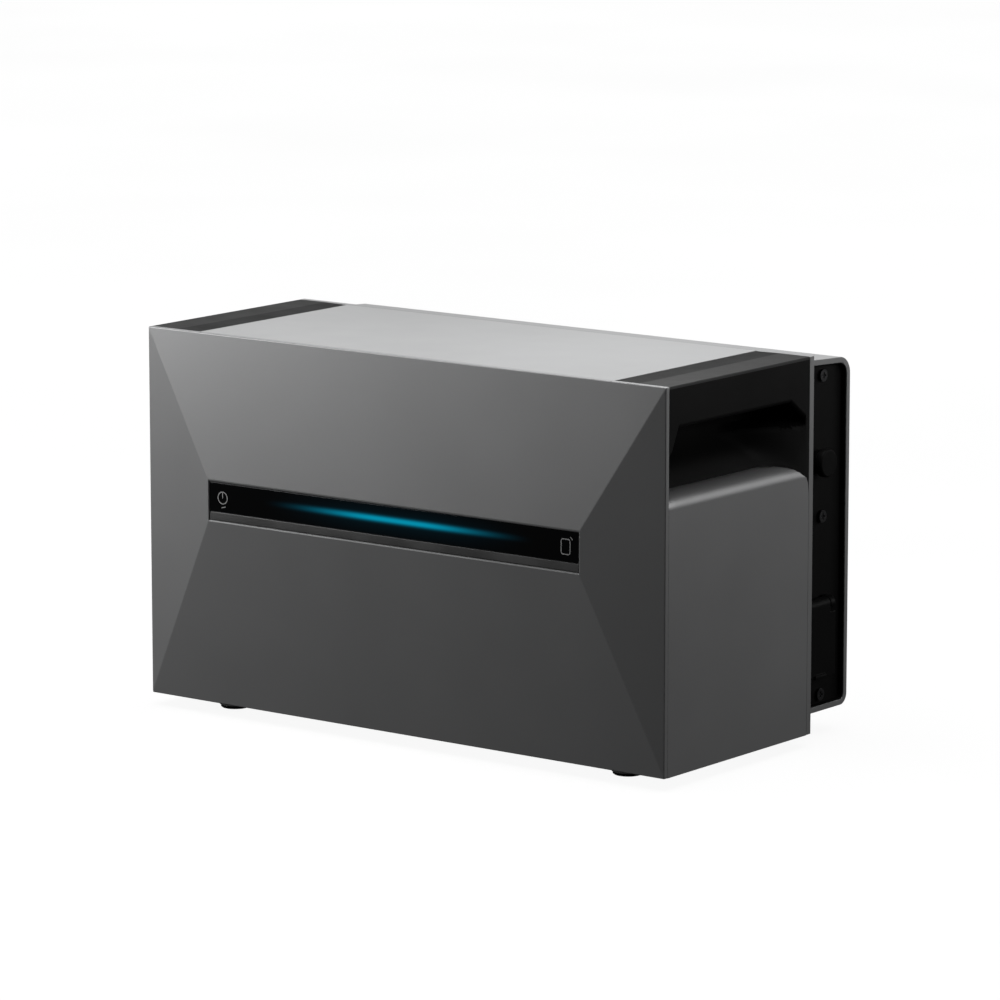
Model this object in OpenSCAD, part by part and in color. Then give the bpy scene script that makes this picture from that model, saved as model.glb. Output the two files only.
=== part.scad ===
// Free-standing solar storage battery with a faceted front, a light bar, two moulded side grips
// and a rear electronics housing that carries the connectors on its two ends.
// Frame: X to the right, Y to the rear, Z up. Origin on the floor, under the middle of the unit.

/* [Overall] */
// Width of the body
body_w = 460; // [440:5:480]
// Height over all, feet included
overall_h = 279; // [270:1:300]
// Depth over all, from the front ridge to the rear of the housing
overall_d = 254; // [250:1:270]
// Height of the rubber feet
foot_h = 9; // [8:0.5:12]
// Wall of the painted metal panels
wall = 2.5; // [2:0.1:3]

/* [Front panel] */
// How far the ridge stands in front of the panel's outer corners
ridge_rise = 11; // [6:0.5:11]
// Half the length of the display opening
bar_half = 165; // [140:1:175]
// Height of the display opening's lower edge above the floor
bar_lo = 146; // [130:1:150]
// Height of the display opening
bar_h = 28; // [24:1:32]
// Depth of the rim that wraps round the panel's edge
front_rim = 3.7; // [3:0.1:5]
// Height of the sloping trim strip under the glass
trim_h = 6.3; // [4:0.1:8]
// How far the glass sits behind the ridge
lens_recess = 1.2; // [0.8:0.1:2]

/* [Handles] */
// Width of each black moulding across the top
grip_w = 46; // [44:1:50]
// Height of the grip's outer face
grip_bar_h = 30; // [24:1:32]
// Thickness of the grip, outside to inside
grip_bar_t = 14; // [12:1:16]
// Depth of the hand recess
recess_d = 35; // [30:1:35]
// Height of the side panel's rolled shoulder above the floor
shoulder_z = 206; // [196:1:210]
// Radius of the rolled shoulder
shoulder_r = 12; // [8:0.5:12]

/* [Rear housing] */
// Depth of the main body from the front corners to its rear face
body_d = 177; // [170:1:180]
// Thickness of the rear frame
frame_t = 5.5; // [4:0.5:7]
// How far the rear housing is set in from each side of the body
housing_inset = 14; // [12:0.5:18]
// Height of the housing's underside above the floor
housing_lo = 18; // [16:1:22]
// How far the housing's top lies below the body's top, at the front
housing_drop = 6; // [4:0.5:8]
// Fall of the housing's top towards the rear
housing_fall = 3.5; // [2:0.5:5]
// Radius of the housing's upper rear corner
housing_r = 13; // [11:0.5:15]
// Radius of the housing's lower rear corner
housing_r_lo = 8; // [7:0.5:13]
// Thickness of the housing's rim
rim_t = 4; // [3.5:0.5:4.5]
// Spacing of the wall bracket holes, side to side
bracket_w = 370; // [364:1:376]
// Spacing of the wall bracket holes, bottom to top
bracket_h = 200; // [190:1:204]

/* [Ports] */
// Diameter of the round screw caps
cap_d = 20.5; // [20:0.5:23]
// How far the screw caps stand out of the port panel
cap_proud = 10; // [9:0.5:12]
// Width of the outlet lid
lid_w = 39.5; // [36:0.5:41]
// Height of the outlet lid, hinge included
lid_h = 57; // [56:1:62]
// Diameter of the visible screw heads
screw_head_d = 8.8; // [7:0.1:9]

/* [Battery] */
// Thickness of one prismatic cell
cell_t = 26; // [24:0.5:26]
// Width of one cell, front to rear
cell_w = 148; // [140:1:150]
// Height of one cell without its terminals
cell_h = 112; // [100:1:114]
// Thickness of the foam pads between cells
pad_t = 1; // [0.5:0.1:1]

/* [Hidden] */
$fn = 64;

// Colours
PAINT = "#7b7c7e";
PAINT_LIGHT = "#a4a5a6";
BLACK = "#141414";
DARK = "#2a2a2b";
GLASS = "#050607";
RUBBER = "#1b1b1b";
STEEL = "#8d8f92";
ALU = "#b5b7ba";
COPPER = "#b87333";
BOARD = "#1e5a3a";
CELL = "#3f6fa8";
CLEAR = "#9fdbe4";

// Main planes
half_w = body_w / 2;
y_ridge = -overall_d / 2;
y_corner = y_ridge + ridge_rise;
y_panel = y_corner + front_rim;
y_body = y_corner + body_d;
y_frame = y_body - frame_t;
y_rear = overall_d / 2;
z_lo = foot_h;
z_hi = overall_h;
bar_hi = bar_lo + bar_h;
eps = 0.1;

// Display stack, front to rear
lens_y = y_ridge + lens_recess;
lens_t = 3;
carrier_y = lens_y + lens_t;
seat_y = carrier_y - 0.6;
carrier_d = 11;
lens_gap = 0.3;
guide_half = 128;
guide_z = 164;
guide_h = 7;

// Grip moulding
grip_x = half_w - grip_w;
band_x = half_w - 25;
band_drop = 1;
skin = 3;
grip_z = z_hi - grip_bar_h;
recess_x = half_w - recess_d;
bar_back = half_w - grip_bar_t - 2;
slope_top = shoulder_z + 32;
ceiling_z = z_hi - 16;
slope_foot = half_w - shoulder_r;
slope_run = slope_foot - recess_x;
slope_rise = slope_top - shoulder_z;
slope_len = sqrt(slope_run * slope_run + slope_rise * slope_rise);
open_front = y_corner + 19;
open_rear = y_corner + 149;
flare_front = y_corner + 7.5;
flare_rear = y_corner + 167;
flare_z = grip_z - 13;
corner_r = 13;

// Feet
foot_x = 177;
foot_y = [y_corner + 31, y_body - 24];
foot_r = 12;
screw_r = 1.95;
screw_hole_r = 2.05;

// Rear housing
house_half = half_w - housing_inset;
house_y = y_body + 1;
house_hi = z_hi - housing_drop;
arc_y = y_rear - housing_r;
tilt = atan(housing_fall / (y_rear - y_body));
arc_hi = house_hi - tan(tilt) * (arc_y - y_body) - housing_r / cos(tilt);
panel_out = house_half - rim_t;
panel_t = 3;
panel_in = panel_out - panel_t;
ledge_t = 4;
ledge_w = 6;
least_r = 0.5;
bracket_r = 2.6;
bracket_z = 146;
boss_r = 6;
boss_y = y_rear - 14;
rear_screw_x = house_half - 14;
rear_screw_z = [70, 146, 222];

// Heat sink in the rear window
sink_half = 148;
sink_lo = 60;
sink_hi = 225;
sink_base_y = y_rear - 23;
sink_base_t = 3;
fin_t = 2.2;
fin_count = 24;
fin_pitch = 12;

// Places on the port panels
port_y = 93;
port_screws_y = [70, 97];
port_screws_z = [29, 259];
grid_z = 197.5;
expansion_z = 235;
earth_z = 158;
pv_first_z = 58;
pv_pitch = 45;
pv_pair = 10;

// Round connectors and their caps
collar_r = 8.5;
collar_len = cap_proud - 3.5;
cap_gap = 0.4;
cap_lo = 4;
cap_edge = 1;
cap_top_t = 2;
seal_t = 1.1;

// Outlet lid and hinge
lid_r = 5;
lid_gap = 0.3;
lid_lo = 44;
hinge_x = panel_out + lid_gap + lid_r;
hinge_z = lid_lo + lid_h - lid_r;
lid_out = hinge_x + lid_r;
lid_t = 2.2;
lid_y = port_y - 30;
ear_w = 5.5;
pin_r = 1.5;
spring_gap = 5;

// Battery pack
cells_per_module = 4;
module_count = 4;
cell_count = cells_per_module * module_count;
cell_pitch = cell_t + pad_t;
pack_half = (cell_count * cell_t + (cell_count - 1) * pad_t) / 2;
pack_y = -28;
tray_z = 17;
tray_t = 3;
cell_z = tray_z + tray_t;
terminal_h = 4;
terminal_y = 50;
busbar_z = cell_z + cell_h + terminal_h;
end_t = 5.5;
cover_z = busbar_z + 3;
cover_t = 2.5;
shelf_z = cover_z + 19;
board_t = 1.6;

// Helpers --------------------------------------------------------------------------------------

// A box from its lowest to its highest corner
module block(lo, hi) {
    translate(lo) cube([hi[0] - lo[0], hi[1] - lo[1], hi[2] - lo[2]]);
}

// Sweeps an outline drawn in Y and Z along X
module along_x(x0, x1) {
    translate([x0, 0, 0]) rotate([90, 0, 90]) linear_extrude(x1 - x0) children();
}

// Sweeps an outline drawn in X and Z along Y
module along_y(y0, y1) {
    translate([0, y1, 0]) rotate([90, 0, 0]) linear_extrude(y1 - y0) children();
}

// A round bar along X
module rod_x(x0, x1, y, z, r) {
    translate([x0, y, z]) rotate([0, 90, 0]) cylinder(h = x1 - x0, r = r);
}

// A round bar along Y
module rod_y(x, y0, y1, z, r) {
    translate([x, y1, z]) rotate([90, 0, 0]) cylinder(h = y1 - y0, r = r);
}

// A round bar along Z
module rod_z(x, y, z0, z1, r) {
    translate([x, y, z0]) cylinder(h = z1 - z0, r = r);
}

// Turns a right-hand piece into the left-hand one
module flip_x(left) {
    if (left) mirror([1, 0, 0]) children();
    else children();
}

// Front and display ----------------------------------------------------------------------------

// Four facets that rise from the panel's edge to the display opening
module facets(inset, back) {
    edge = y_corner + inset;
    ridge = y_ridge + inset;
    side = half_w - inset;
    lo = z_lo + inset;
    hi = z_hi - inset;
    intersection() {
        along_x(-side, side) polygon([[back, lo], [edge, lo], [ridge, bar_lo], [ridge, bar_hi],
            [edge, hi], [back, hi]]);
        translate([0, 0, lo]) linear_extrude(hi - lo) polygon([[-side, back], [-side, edge],
            [-bar_half, ridge], [bar_half, ridge], [side, edge], [side, back]]);
    }
}

module front_panel() {
    seat = 9;
    color(PAINT) difference() {
        union() {
            difference() {
                facets(0, y_panel);
                facets(wall, y_panel + eps);
            }
            block([-bar_half - seat, y_ridge + wall, bar_lo - seat],
                [bar_half + seat, seat_y, bar_hi + seat]);
        }
        block([-bar_half, y_ridge - eps, bar_lo], [bar_half, seat_y + eps, bar_hi]);
    }
}

module display_lens() {
    color(GLASS) block([-bar_half + lens_gap, lens_y, bar_lo + trim_h + lens_gap],
        [bar_half - lens_gap, carrier_y, bar_hi - lens_gap]);
}

module display_trim() {
    top = bar_lo + trim_h;
    color(DARK) along_x(-bar_half + lens_gap, bar_half - lens_gap) polygon([
        [y_ridge + 0.5, bar_lo + lens_gap], [lens_y - 0.3, top - 0.5], [lens_y, top],
        [carrier_y, top], [carrier_y, bar_lo + lens_gap]]);
}

module display_carrier() {
    border = 7;
    lip = 2;
    color(BLACK) difference() {
        block([-bar_half - border, carrier_y, bar_lo - border],
            [bar_half + border, carrier_y + carrier_d, bar_hi + border]);
        block([-bar_half, carrier_y + lip, bar_lo], [bar_half, carrier_y + carrier_d + eps, bar_hi]);
        block([-guide_half - lens_gap, carrier_y - eps, guide_z - guide_h / 2 - lens_gap],
            [guide_half + lens_gap, carrier_y + lip + eps, guide_z + guide_h / 2 + lens_gap]);
    }
}

module display_gasket() {
    band = 5;
    color(RUBBER) difference() {
        block([-bar_half - band, seat_y, bar_lo - band], [bar_half + band, carrier_y, bar_hi + band]);
        block([-bar_half, seat_y - eps, bar_lo], [bar_half, carrier_y + eps, bar_hi]);
    }
}

module light_guide() {
    color(CLEAR) block([-guide_half, carrier_y, guide_z - guide_h / 2],
        [guide_half, carrier_y + 5, guide_z + guide_h / 2]);
}

module display_board() {
    led_count = 20;
    led_pitch = 2 * guide_half / led_count;
    led = 3;
    board_y = carrier_y + 6.2;
    color(BOARD) {
        block([-bar_half + 2, board_y, bar_lo + 2], [bar_half - 2, board_y + board_t, bar_hi - 2]);
        for (i = [0 : led_count - 1])
            translate([-guide_half + led_pitch * (i + 0.5) - led / 2, board_y - 1, guide_z - led / 2])
                cube([led, 1, led]);
        for (s = [-1, 1])
            rod_y(s * (bar_half - 13), board_y - 3, board_y, guide_z - 1, 6);
    }
}

// Top, grips, sides, frame and base ------------------------------------------------------------

module top_plate() {
    flange = 12;
    color(PAINT_LIGHT) {
        block([-grip_x, y_panel, z_hi - wall], [grip_x, y_frame, z_hi]);
        for (s = [-1, 1])
            translate([s * (grip_x - wall / 2) - wall / 2, y_panel, z_hi - wall - flange])
                cube([wall, y_frame - y_panel, flange]);
    }
}

// Outline in X and Z of the metal side with its rolled shoulder
module side_outline(inset) {
    r = shoulder_r - inset;
    inner = half_w - 34;
    translate([inner - inset, z_lo - inset])
        square([half_w - inner, shoulder_z - shoulder_r - z_lo + inset]);
    translate([inner - inset, z_lo]) square([slope_foot - inner + inset, shoulder_z - z_lo - inset]);
    translate([slope_foot, shoulder_z - shoulder_r]) circle(r);
}

// The whole bent side sheet, before its rear corner is rounded
module side_sheet() {
    along_y(y_panel, y_frame) difference() {
        side_outline(0);
        side_outline(wall);
    }
}

// The rounded-off rear corner of the side sheet, which the grip moulding fills
module side_corner() {
    along_x(0, half_w + 1) difference() {
        translate([y_frame - corner_r, shoulder_z - corner_r]) square(corner_r + 1);
        translate([y_frame - corner_r, shoulder_z - corner_r]) circle(corner_r);
    }
}

module side_panel(left) {
    color(PAINT) flip_x(left) difference() {
        side_sheet();
        side_corner();
    }
}

// Section of the hand recess: up from the shoulder along the slope, behind the grip, and out
module recess_section() {
    polygon([[slope_foot, shoulder_z], [recess_x, slope_top], [recess_x, ceiling_z - 4],
        [recess_x + 4, ceiling_z], [bar_back - 3, ceiling_z], [bar_back, ceiling_z - 3],
        [bar_back, grip_z + 2], [bar_back + 2, grip_z], [half_w + 1, grip_z],
        [half_w + 1, shoulder_z]]);
}

// Section of the hollow inside the moulding, open to the inside of the unit
module hollow_section() {
    reach = skin * slope_len / slope_rise;
    low = shoulder_z + skin;
    foot = slope_foot - reach - skin * slope_run / slope_rise;
    polygon([[grip_x - 1, low], [foot, low], [recess_x - skin, slope_top - 2],
        [recess_x - skin, ceiling_z + skin], [bar_back + skin, ceiling_z + skin],
        [bar_back + skin, grip_z + skin], [half_w - skin, grip_z + skin],
        [half_w - skin, z_hi - skin - band_drop], [grip_x - 1, z_hi - skin - band_drop]]);
}

// Outline in Y and Z of the opening, flared below the grip
module recess_outline() {
    polygon([[open_front, z_hi], [open_front, grip_z], [flare_front, flare_z],
        [flare_front, shoulder_z - 1], [flare_rear, shoulder_z - 1], [flare_rear, flare_z],
        [open_rear, grip_z], [open_rear, z_hi]]);
}

module handle(left) {
    color(BLACK) flip_x(left) {
        difference() {
            along_y(y_panel, y_frame) polygon([[grip_x, shoulder_z], [grip_x, z_hi - band_drop],
                [band_x, z_hi], [half_w, z_hi], [half_w, shoulder_z]]);
            intersection() {
                along_y(y_panel, y_frame) recess_section();
                along_x(grip_x, half_w + 1) recess_outline();
            }
            along_y(y_panel + skin, y_frame - skin) hollow_section();
        }
        intersection() {
            side_sheet();
            side_corner();
        }
    }
}

module rear_frame() {
    color(PAINT) difference() {
        block([-half_w, y_frame, z_lo], [half_w, y_body, z_hi]);
        block([-150, y_frame - eps, 40], [150, y_body + eps, 240]);
    }
}

module base_plate() {
    color(PAINT) difference() {
        union() {
            block([-half_w + wall, y_panel, z_lo], [half_w - wall, y_frame, z_lo + wall]);
            for (x = [-foot_x, foot_x], y = foot_y)
                rod_z(x, y, z_lo + wall, z_lo + wall + 4, 5);
        }
        for (x = [-foot_x, foot_x], y = foot_y)
            rod_z(x, y, z_lo - eps, z_lo + wall + 4 + eps, screw_hole_r);
    }
}

module foot(x, y) {
    taper = 1;
    edge = 0.8;
    color(RUBBER) translate([x, y, 0]) rotate_extrude() polygon([[5, 0],
        [foot_r - taper - edge, 0], [foot_r - taper, edge], [foot_r, foot_h],
        [2.3, foot_h], [2.3, 4], [5, 4]]);
}

module foot_screws() {
    color(STEEL) for (x = [-foot_x, foot_x], y = foot_y) {
        rod_z(x, y, 1.6, 4, 4.2);
        rod_z(x, y, 4, z_lo + wall + 4, screw_r);
    }
}

// Rear housing ---------------------------------------------------------------------------------

// Side outline of the housing, drawn in by the inset on its three free sides
module housing_outline(inset, start) {
    r = housing_r - inset;
    r_lo = max(housing_r_lo - inset, least_r);
    rear = y_rear - inset;
    lo = housing_lo + inset;
    top = house_hi - inset / cos(tilt) - tan(tilt) * (start - y_body);
    polygon([[start, lo], [rear - r_lo, lo], [rear, lo + r_lo], [arc_y + r, arc_hi],
        [arc_y + r * sin(tilt), arc_hi + r * cos(tilt)], [start, top]]);
    translate([rear - r_lo, lo + r_lo]) circle(r_lo);
    translate([arc_y, arc_hi]) circle(r);
}

module rear_housing() {
    color(PAINT) difference() {
        union() {
            difference() {
                along_x(-house_half, house_half) housing_outline(0, house_y);
                along_x(-house_half - 1, house_half + 1) housing_outline(rim_t, house_y - 1);
            }
            for (s = [0, 1]) mirror([s, 0, 0]) {
                along_x(panel_in - ledge_t, panel_in) difference() {
                    housing_outline(rim_t - eps, house_y);
                    housing_outline(rim_t + ledge_w, house_y - 1);
                }
                for (y = port_screws_y, z = port_screws_z)
                    rod_x(panel_in - 10, panel_in, y, z, 5);
                for (z = rear_screw_z)
                    rod_y(rear_screw_x, boss_y, y_rear - rim_t + eps, z, 5);
                for (t = [-1, 1])
                    rod_y(bracket_w / 2, boss_y, y_rear - rim_t + eps, bracket_z + t * bracket_h / 2,
                        boss_r);
            }
        }
        block([-sink_half, y_rear - rim_t - eps, sink_lo], [sink_half, y_rear + eps, sink_hi]);
        for (s = [-1, 1]) {
            for (t = [-1, 1])
                rod_y(s * bracket_w / 2, boss_y - eps, y_rear + eps, bracket_z + t * bracket_h / 2,
                    bracket_r);
            for (z = rear_screw_z) {
                rod_y(s * rear_screw_x, boss_y - eps, y_rear + eps, z, 1.8);
                rod_y(s * rear_screw_x, y_rear - 2, y_rear + eps, z, 4.4);
            }
        }
        for (s = [0, 1], y = port_screws_y, z = port_screws_z)
            mirror([s, 0, 0]) rod_x(panel_in - 10 - eps, panel_in + eps, y, z, 1.8);
        rod_z(60, port_y, housing_lo - eps, housing_lo + rim_t + eps, 5.05);
    }
}

module housing_gasket() {
    color(RUBBER) difference() {
        block([-house_half + 1, y_body, housing_lo + 1], [house_half - 1, house_y, house_hi - 1.5]);
        block([-panel_in + 2, y_body - eps, housing_lo + 6], [panel_in - 2, house_y + eps, house_hi - 7]);
    }
}

module housing_screws() {
    color(STEEL) for (s = [-1, 1], z = rear_screw_z) {
        rod_y(s * rear_screw_x, y_rear - 2, y_rear - 0.3, z, 3.9);
        rod_y(s * rear_screw_x, boss_y, y_rear - 2, z, 1.7);
    }
}

module heat_sink() {
    wall_t = 3;
    flange = 11;
    fin_lo = sink_lo + 6;
    fin_hi = sink_hi - 6;
    color(ALU) {
        difference() {
            union() {
                block([-sink_half - 1, sink_base_y, sink_lo - 1],
                    [sink_half + 1, y_rear - rim_t, sink_hi + 1]);
                block([-sink_half - flange, y_rear - rim_t - wall_t, sink_lo - flange],
                    [sink_half + flange, y_rear - rim_t, sink_hi + flange]);
            }
            block([-sink_half + 2, sink_base_y + sink_base_t, sink_lo + 2],
                [sink_half - 2, y_rear, sink_hi - 2]);
        }
        for (i = [0 : fin_count - 1])
            translate([(i - (fin_count - 1) / 2) * fin_pitch - fin_t / 2, sink_base_y, fin_lo])
                cube([fin_t, y_rear - 0.4 - sink_base_y, fin_hi - fin_lo]);
        for (x = [-130, 130], z = [75, 210])
            rod_y(x, sink_base_y - 18, sink_base_y, z, 4);
    }
}

// Port panels and what they carry --------------------------------------------------------------

// Blank of one port panel, with the four holes for its screws
module panel_blank() {
    difference() {
        along_x(panel_in, panel_out) housing_outline(rim_t + 0.2, house_y + 0.2);
        for (y = port_screws_y, z = port_screws_z)
            rod_x(panel_in - eps, panel_out + eps, y, z, 1.8);
    }
}

module port_panel_left() {
    color(BLACK) mirror([1, 0, 0]) difference() {
        panel_blank();
        rod_x(panel_in - eps, panel_out + eps, port_y, expansion_z, collar_r + 0.05);
        for (i = [0 : 3], t = [-1, 1])
            rod_x(panel_in - eps, panel_out + eps, port_y, pv_first_z + i * pv_pitch + t * pv_pair, 6.05);
    }
}

module port_panel_right() {
    color(BLACK) difference() {
        union() {
            panel_blank();
            rod_x(panel_in - 9, panel_in + eps, port_screws_y[1], earth_z, 5);
        }
        rod_x(panel_in - eps, panel_out + eps, port_y, grid_z, collar_r + 0.05);
        rod_x(panel_in - 9 - eps, panel_out + eps, port_screws_y[1], earth_z, screw_hole_r);
        block([panel_in - eps, lid_y + ear_w - 0.5, lid_lo + 6],
            [panel_out + eps, lid_y + lid_w - ear_w + 0.5, lid_lo + 44]);
    }
}

module port_screws() {
    color(STEEL) for (s = [0, 1], y = port_screws_y, z = port_screws_z)
        mirror([s, 0, 0]) difference() {
            union() {
                rod_x(panel_out, panel_out + 2, y, z, screw_head_d / 2);
                rod_x(panel_in - 10, panel_out, y, z, 1.7);
            }
            for (a = [0, 90])
                translate([panel_out + 2, y, z]) rotate([a, 0, 0]) cube([2, 4.6, 1.1], center = true);
        }
}

module earth_screw() {
    y = port_screws_y[1];
    color(STEEL) difference() {
        union() {
            rod_x(panel_out, panel_out + 2.4, y, earth_z, screw_head_d / 2);
            rod_x(panel_in - 9, panel_out, y, earth_z, screw_r);
        }
        for (a = [0, 90])
            translate([panel_out + 2.4, y, earth_z]) rotate([a, 0, 0])
                cube([2.4, 5, 1.1], center = true);
    }
}

// Round sealed connector: a collar for the cap, an insulator inside it and a nut behind the panel
module round_connector(z) {
    color(BLACK) {
        difference() {
            rod_x(panel_in - 16, panel_out + collar_len, port_y, z, collar_r);
            rod_x(panel_in - 12, panel_out + collar_len + eps, port_y, z, 6.7);
        }
        difference() {
            rod_x(panel_in - 13, panel_out + collar_len - 0.8, port_y, z, 4.5);
            for (a = [0 : 72 : 288])
                rod_x(panel_out, panel_out + collar_len, port_y + 2.7 * cos(a), z + 2.7 * sin(a), 0.8);
        }
        difference() {
            rod_x(panel_in - 5, panel_in, port_y, z, 11);
            rod_x(panel_in - 5 - eps, panel_in + eps, port_y, z, collar_r - eps);
        }
    }
}

module cap_seal(z) {
    color(RUBBER) rod_x(panel_out + collar_len + 0.2, panel_out + collar_len + 0.2 + seal_t, port_y, z,
        collar_r + 0.1);
}

module round_cap(z) {
    r = cap_d / 2;
    bore = collar_r + cap_gap;
    color(BLACK) translate([panel_out, port_y, z]) rotate([0, 90, 0]) rotate_extrude() polygon([
        [bore, cap_lo], [r - cap_edge, cap_lo], [r, cap_lo + cap_edge], [r, cap_proud - cap_edge],
        [r - cap_edge, cap_proud], [0, cap_proud], [0, cap_proud - cap_top_t],
        [bore, cap_proud - cap_top_t]]);
}

module outlet_socket() {
    lo = lid_lo + 3.5;
    mid = lid_y + lid_w / 2;
    inner = lid_y + ear_w;
    outer = lid_y + lid_w - ear_w;
    color(BLACK) difference() {
        union() {
            block([panel_in - 19, inner - 0.5, lid_lo + 6.1], [panel_out, outer + 0.5, lid_lo + 43.9]);
            block([panel_out, lid_y + 3, lo], [panel_out + 1.5, lid_y + lid_w - 3, hinge_z - lid_r - 2]);
            for (s = [0, 1]) {
                near = s == 0 ? lid_y : outer;
                rib = s == 0 ? inner - 2.5 : outer;
                rod_y(hinge_x, near, near + ear_w, hinge_z, lid_r);
                block([panel_out, near, hinge_z - lid_r], [hinge_x, near + ear_w, hinge_z + lid_r]);
                block([panel_out, rib, lo], [panel_out + 1.5, rib + 2.5, hinge_z]);
            }
        }
        rod_y(hinge_x, lid_y - eps, lid_y + lid_w + eps, hinge_z, pin_r + 0.03);
        for (y = [mid - 5.5, mid + 5.5])
            block([panel_out - 8, y - 1.1, 68], [panel_out + 2, y + 1.1, 76]);
        block([panel_out - 8, mid - 3.5, 57], [panel_out + 2, mid + 3.5, 59.2]);
    }
}

module outlet_lid() {
    mid = lid_y + lid_w / 2;
    inner = lid_y + ear_w + 0.5;
    outer = lid_y + lid_w - ear_w - 0.5;
    side_hi = hinge_z - lid_r - 0.5;
    color(BLACK) difference() {
        union() {
            rod_y(hinge_x, inner, outer, hinge_z, lid_r);
            block([lid_out - lid_t, inner, side_hi - 1], [lid_out, outer, hinge_z]);
            difference() {
                block([panel_out + lid_gap, lid_y, lid_lo], [lid_out, lid_y + lid_w, side_hi]);
                block([panel_out, lid_y + lid_t, lid_lo + lid_t],
                    [lid_out - lid_t, lid_y + lid_w - lid_t, side_hi + 1]);
            }
            block([lid_out - eps, mid - 7, lid_lo], [lid_out + 1.6, mid + 7, lid_lo + 3]);
        }
        rod_y(hinge_x, lid_y, lid_y + lid_w, hinge_z, pin_r + 0.08);
        rod_y(hinge_x, mid - spring_gap / 2, mid + spring_gap / 2, hinge_z, lid_r - 1);
        block([panel_out, mid - spring_gap / 2, hinge_z - lid_r - 1],
            [hinge_x, mid + spring_gap / 2, hinge_z + lid_r]);
    }
}

module outlet_pin() {
    color(STEEL) rod_y(hinge_x, lid_y + 0.5, lid_y + lid_w - 0.5, hinge_z, pin_r);
}

// Torsion spring of four close turns round the pin
module outlet_spring() {
    wire = 0.5;
    turns = 4;
    pitch = 0.9;
    color(STEEL) translate([hinge_x, lid_y + lid_w / 2 - pitch * (turns - 1) / 2, hinge_z])
        rotate([-90, 0, 0]) rotate_extrude()
            for (i = [0 : turns - 1]) translate([2.4, i * pitch]) circle(wire);
}

// Two panel-mount solar connectors in one moulding
module pv_input(z) {
    difference() {
        union() {
            block([panel_out, port_y - 10, z - 19], [panel_out + 1.5, port_y + 10, z + 19]);
            for (t = [-1, 1]) rod_x(panel_in - 12, panel_out + 7, port_y, z + t * pv_pair, 6);
        }
        for (t = [-1, 1]) rod_x(panel_out - 8, panel_out + 7 + eps, port_y, z + t * pv_pair, 4.2);
    }
    for (t = [-1, 1]) rod_x(panel_out - 9, panel_out + 6, port_y, z + t * pv_pair, 1.5);
}

module pv_inputs() {
    color(BLACK) mirror([1, 0, 0]) for (i = [0 : 3]) pv_input(pv_first_z + i * pv_pitch);
}

// Rubber dust cap over one pair of solar connectors
module pv_cap(i) {
    z = pv_first_z + i * pv_pitch;
    outer = 8.5;
    color(RUBBER) mirror([1, 0, 0]) difference() {
        union() {
            for (t = [-1, 1]) rod_x(panel_out + 1.8, panel_out + 9.5, port_y, z + t * pv_pair, outer);
            block([panel_out + 1.8, port_y - outer, z - pv_pair],
                [panel_out + 9.5, port_y + outer, z + pv_pair]);
            block([panel_out + 7, port_y - 3, z + pv_pair],
                [panel_out + 9.5, port_y + 3, z + pv_pair + outer + 3]);
        }
        for (t = [-1, 1]) rod_x(panel_out + 1, panel_out + 7.5, port_y, z + t * pv_pair, 6.4);
    }
}

module vent_valve() {
    color(BLACK) {
        rod_z(60, port_y, housing_lo - 4, housing_lo, 8);
        rod_z(60, port_y, housing_lo - eps, housing_lo + rim_t + 3, 5);
        difference() {
            rod_z(60, port_y, housing_lo + rim_t, housing_lo + rim_t + 3, 8);
            rod_z(60, port_y, housing_lo + rim_t - eps, housing_lo + rim_t + 4, 4.9);
        }
    }
}

// Battery pack and electronics -----------------------------------------------------------------

// Middle of a cell, counted from the left
function cell_x(i) = -pack_half + cell_t / 2 + i * cell_pitch;

module battery_tray() {
    lip = 8;
    reach = pack_half + end_t;
    color(STEEL) {
        block([-reach, pack_y - cell_w / 2, tray_z], [reach, pack_y + cell_w / 2, tray_z + tray_t]);
        for (s = [-1, 1])
            translate([-reach, pack_y + s * (cell_w / 2 + 2.5) - 1, tray_z])
                cube([2 * reach, 2, lip + tray_t]);
        for (s = [-1, 1])
            translate([-reach, pack_y + s * (cell_w / 2 + 1) - 1.5, tray_z])
                cube([2 * reach, 3, tray_t]);
        for (x = [-120, 0, 120], s = [-1, 1])
            block([x - 10, pack_y + s * 50 - 10, z_lo + wall], [x + 10, pack_y + s * 50 + 10, tray_z]);
    }
}

module cell(i) {
    translate([cell_x(i) - cell_t / 2, pack_y - cell_w / 2, cell_z]) cube([cell_t, cell_w, cell_h]);
    for (s = [-1, 1])
        rod_z(cell_x(i), pack_y + s * terminal_y, cell_z + cell_h, busbar_z, 6);
    rod_z(cell_x(i), pack_y, cell_z + cell_h, cell_z + cell_h + 0.8, 5);
}

module cell_module(m) {
    color(CELL) for (i = [0 : cells_per_module - 1]) cell(m * cells_per_module + i);
}

module cell_pads() {
    color(DARK) for (i = [0 : cell_count - 2])
        translate([cell_x(i) + cell_t / 2, pack_y - cell_w / 2 + 3, cell_z + 3])
            cube([pad_t, cell_w - 6, cell_h - 6]);
}

module end_plates() {
    color(ALU) for (s = [0, 1]) mirror([s, 0, 0])
        block([pack_half, pack_y - cell_w / 2, cell_z], [pack_half + end_t, pack_y + cell_w / 2, cover_z]);
}

module pack_straps() {
    strap_t = 0.8;
    strap_h = 16;
    reach = pack_half + end_t;
    color(STEEL) for (z = [cell_z + 24, cell_z + 74])
        difference() {
            block([-reach - strap_t, pack_y - cell_w / 2 - strap_t, z],
                [reach + strap_t, pack_y + cell_w / 2 + strap_t, z + strap_h]);
            block([-reach, pack_y - cell_w / 2, z - 1], [reach, pack_y + cell_w / 2, z + strap_h + 1]);
        }
}

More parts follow.
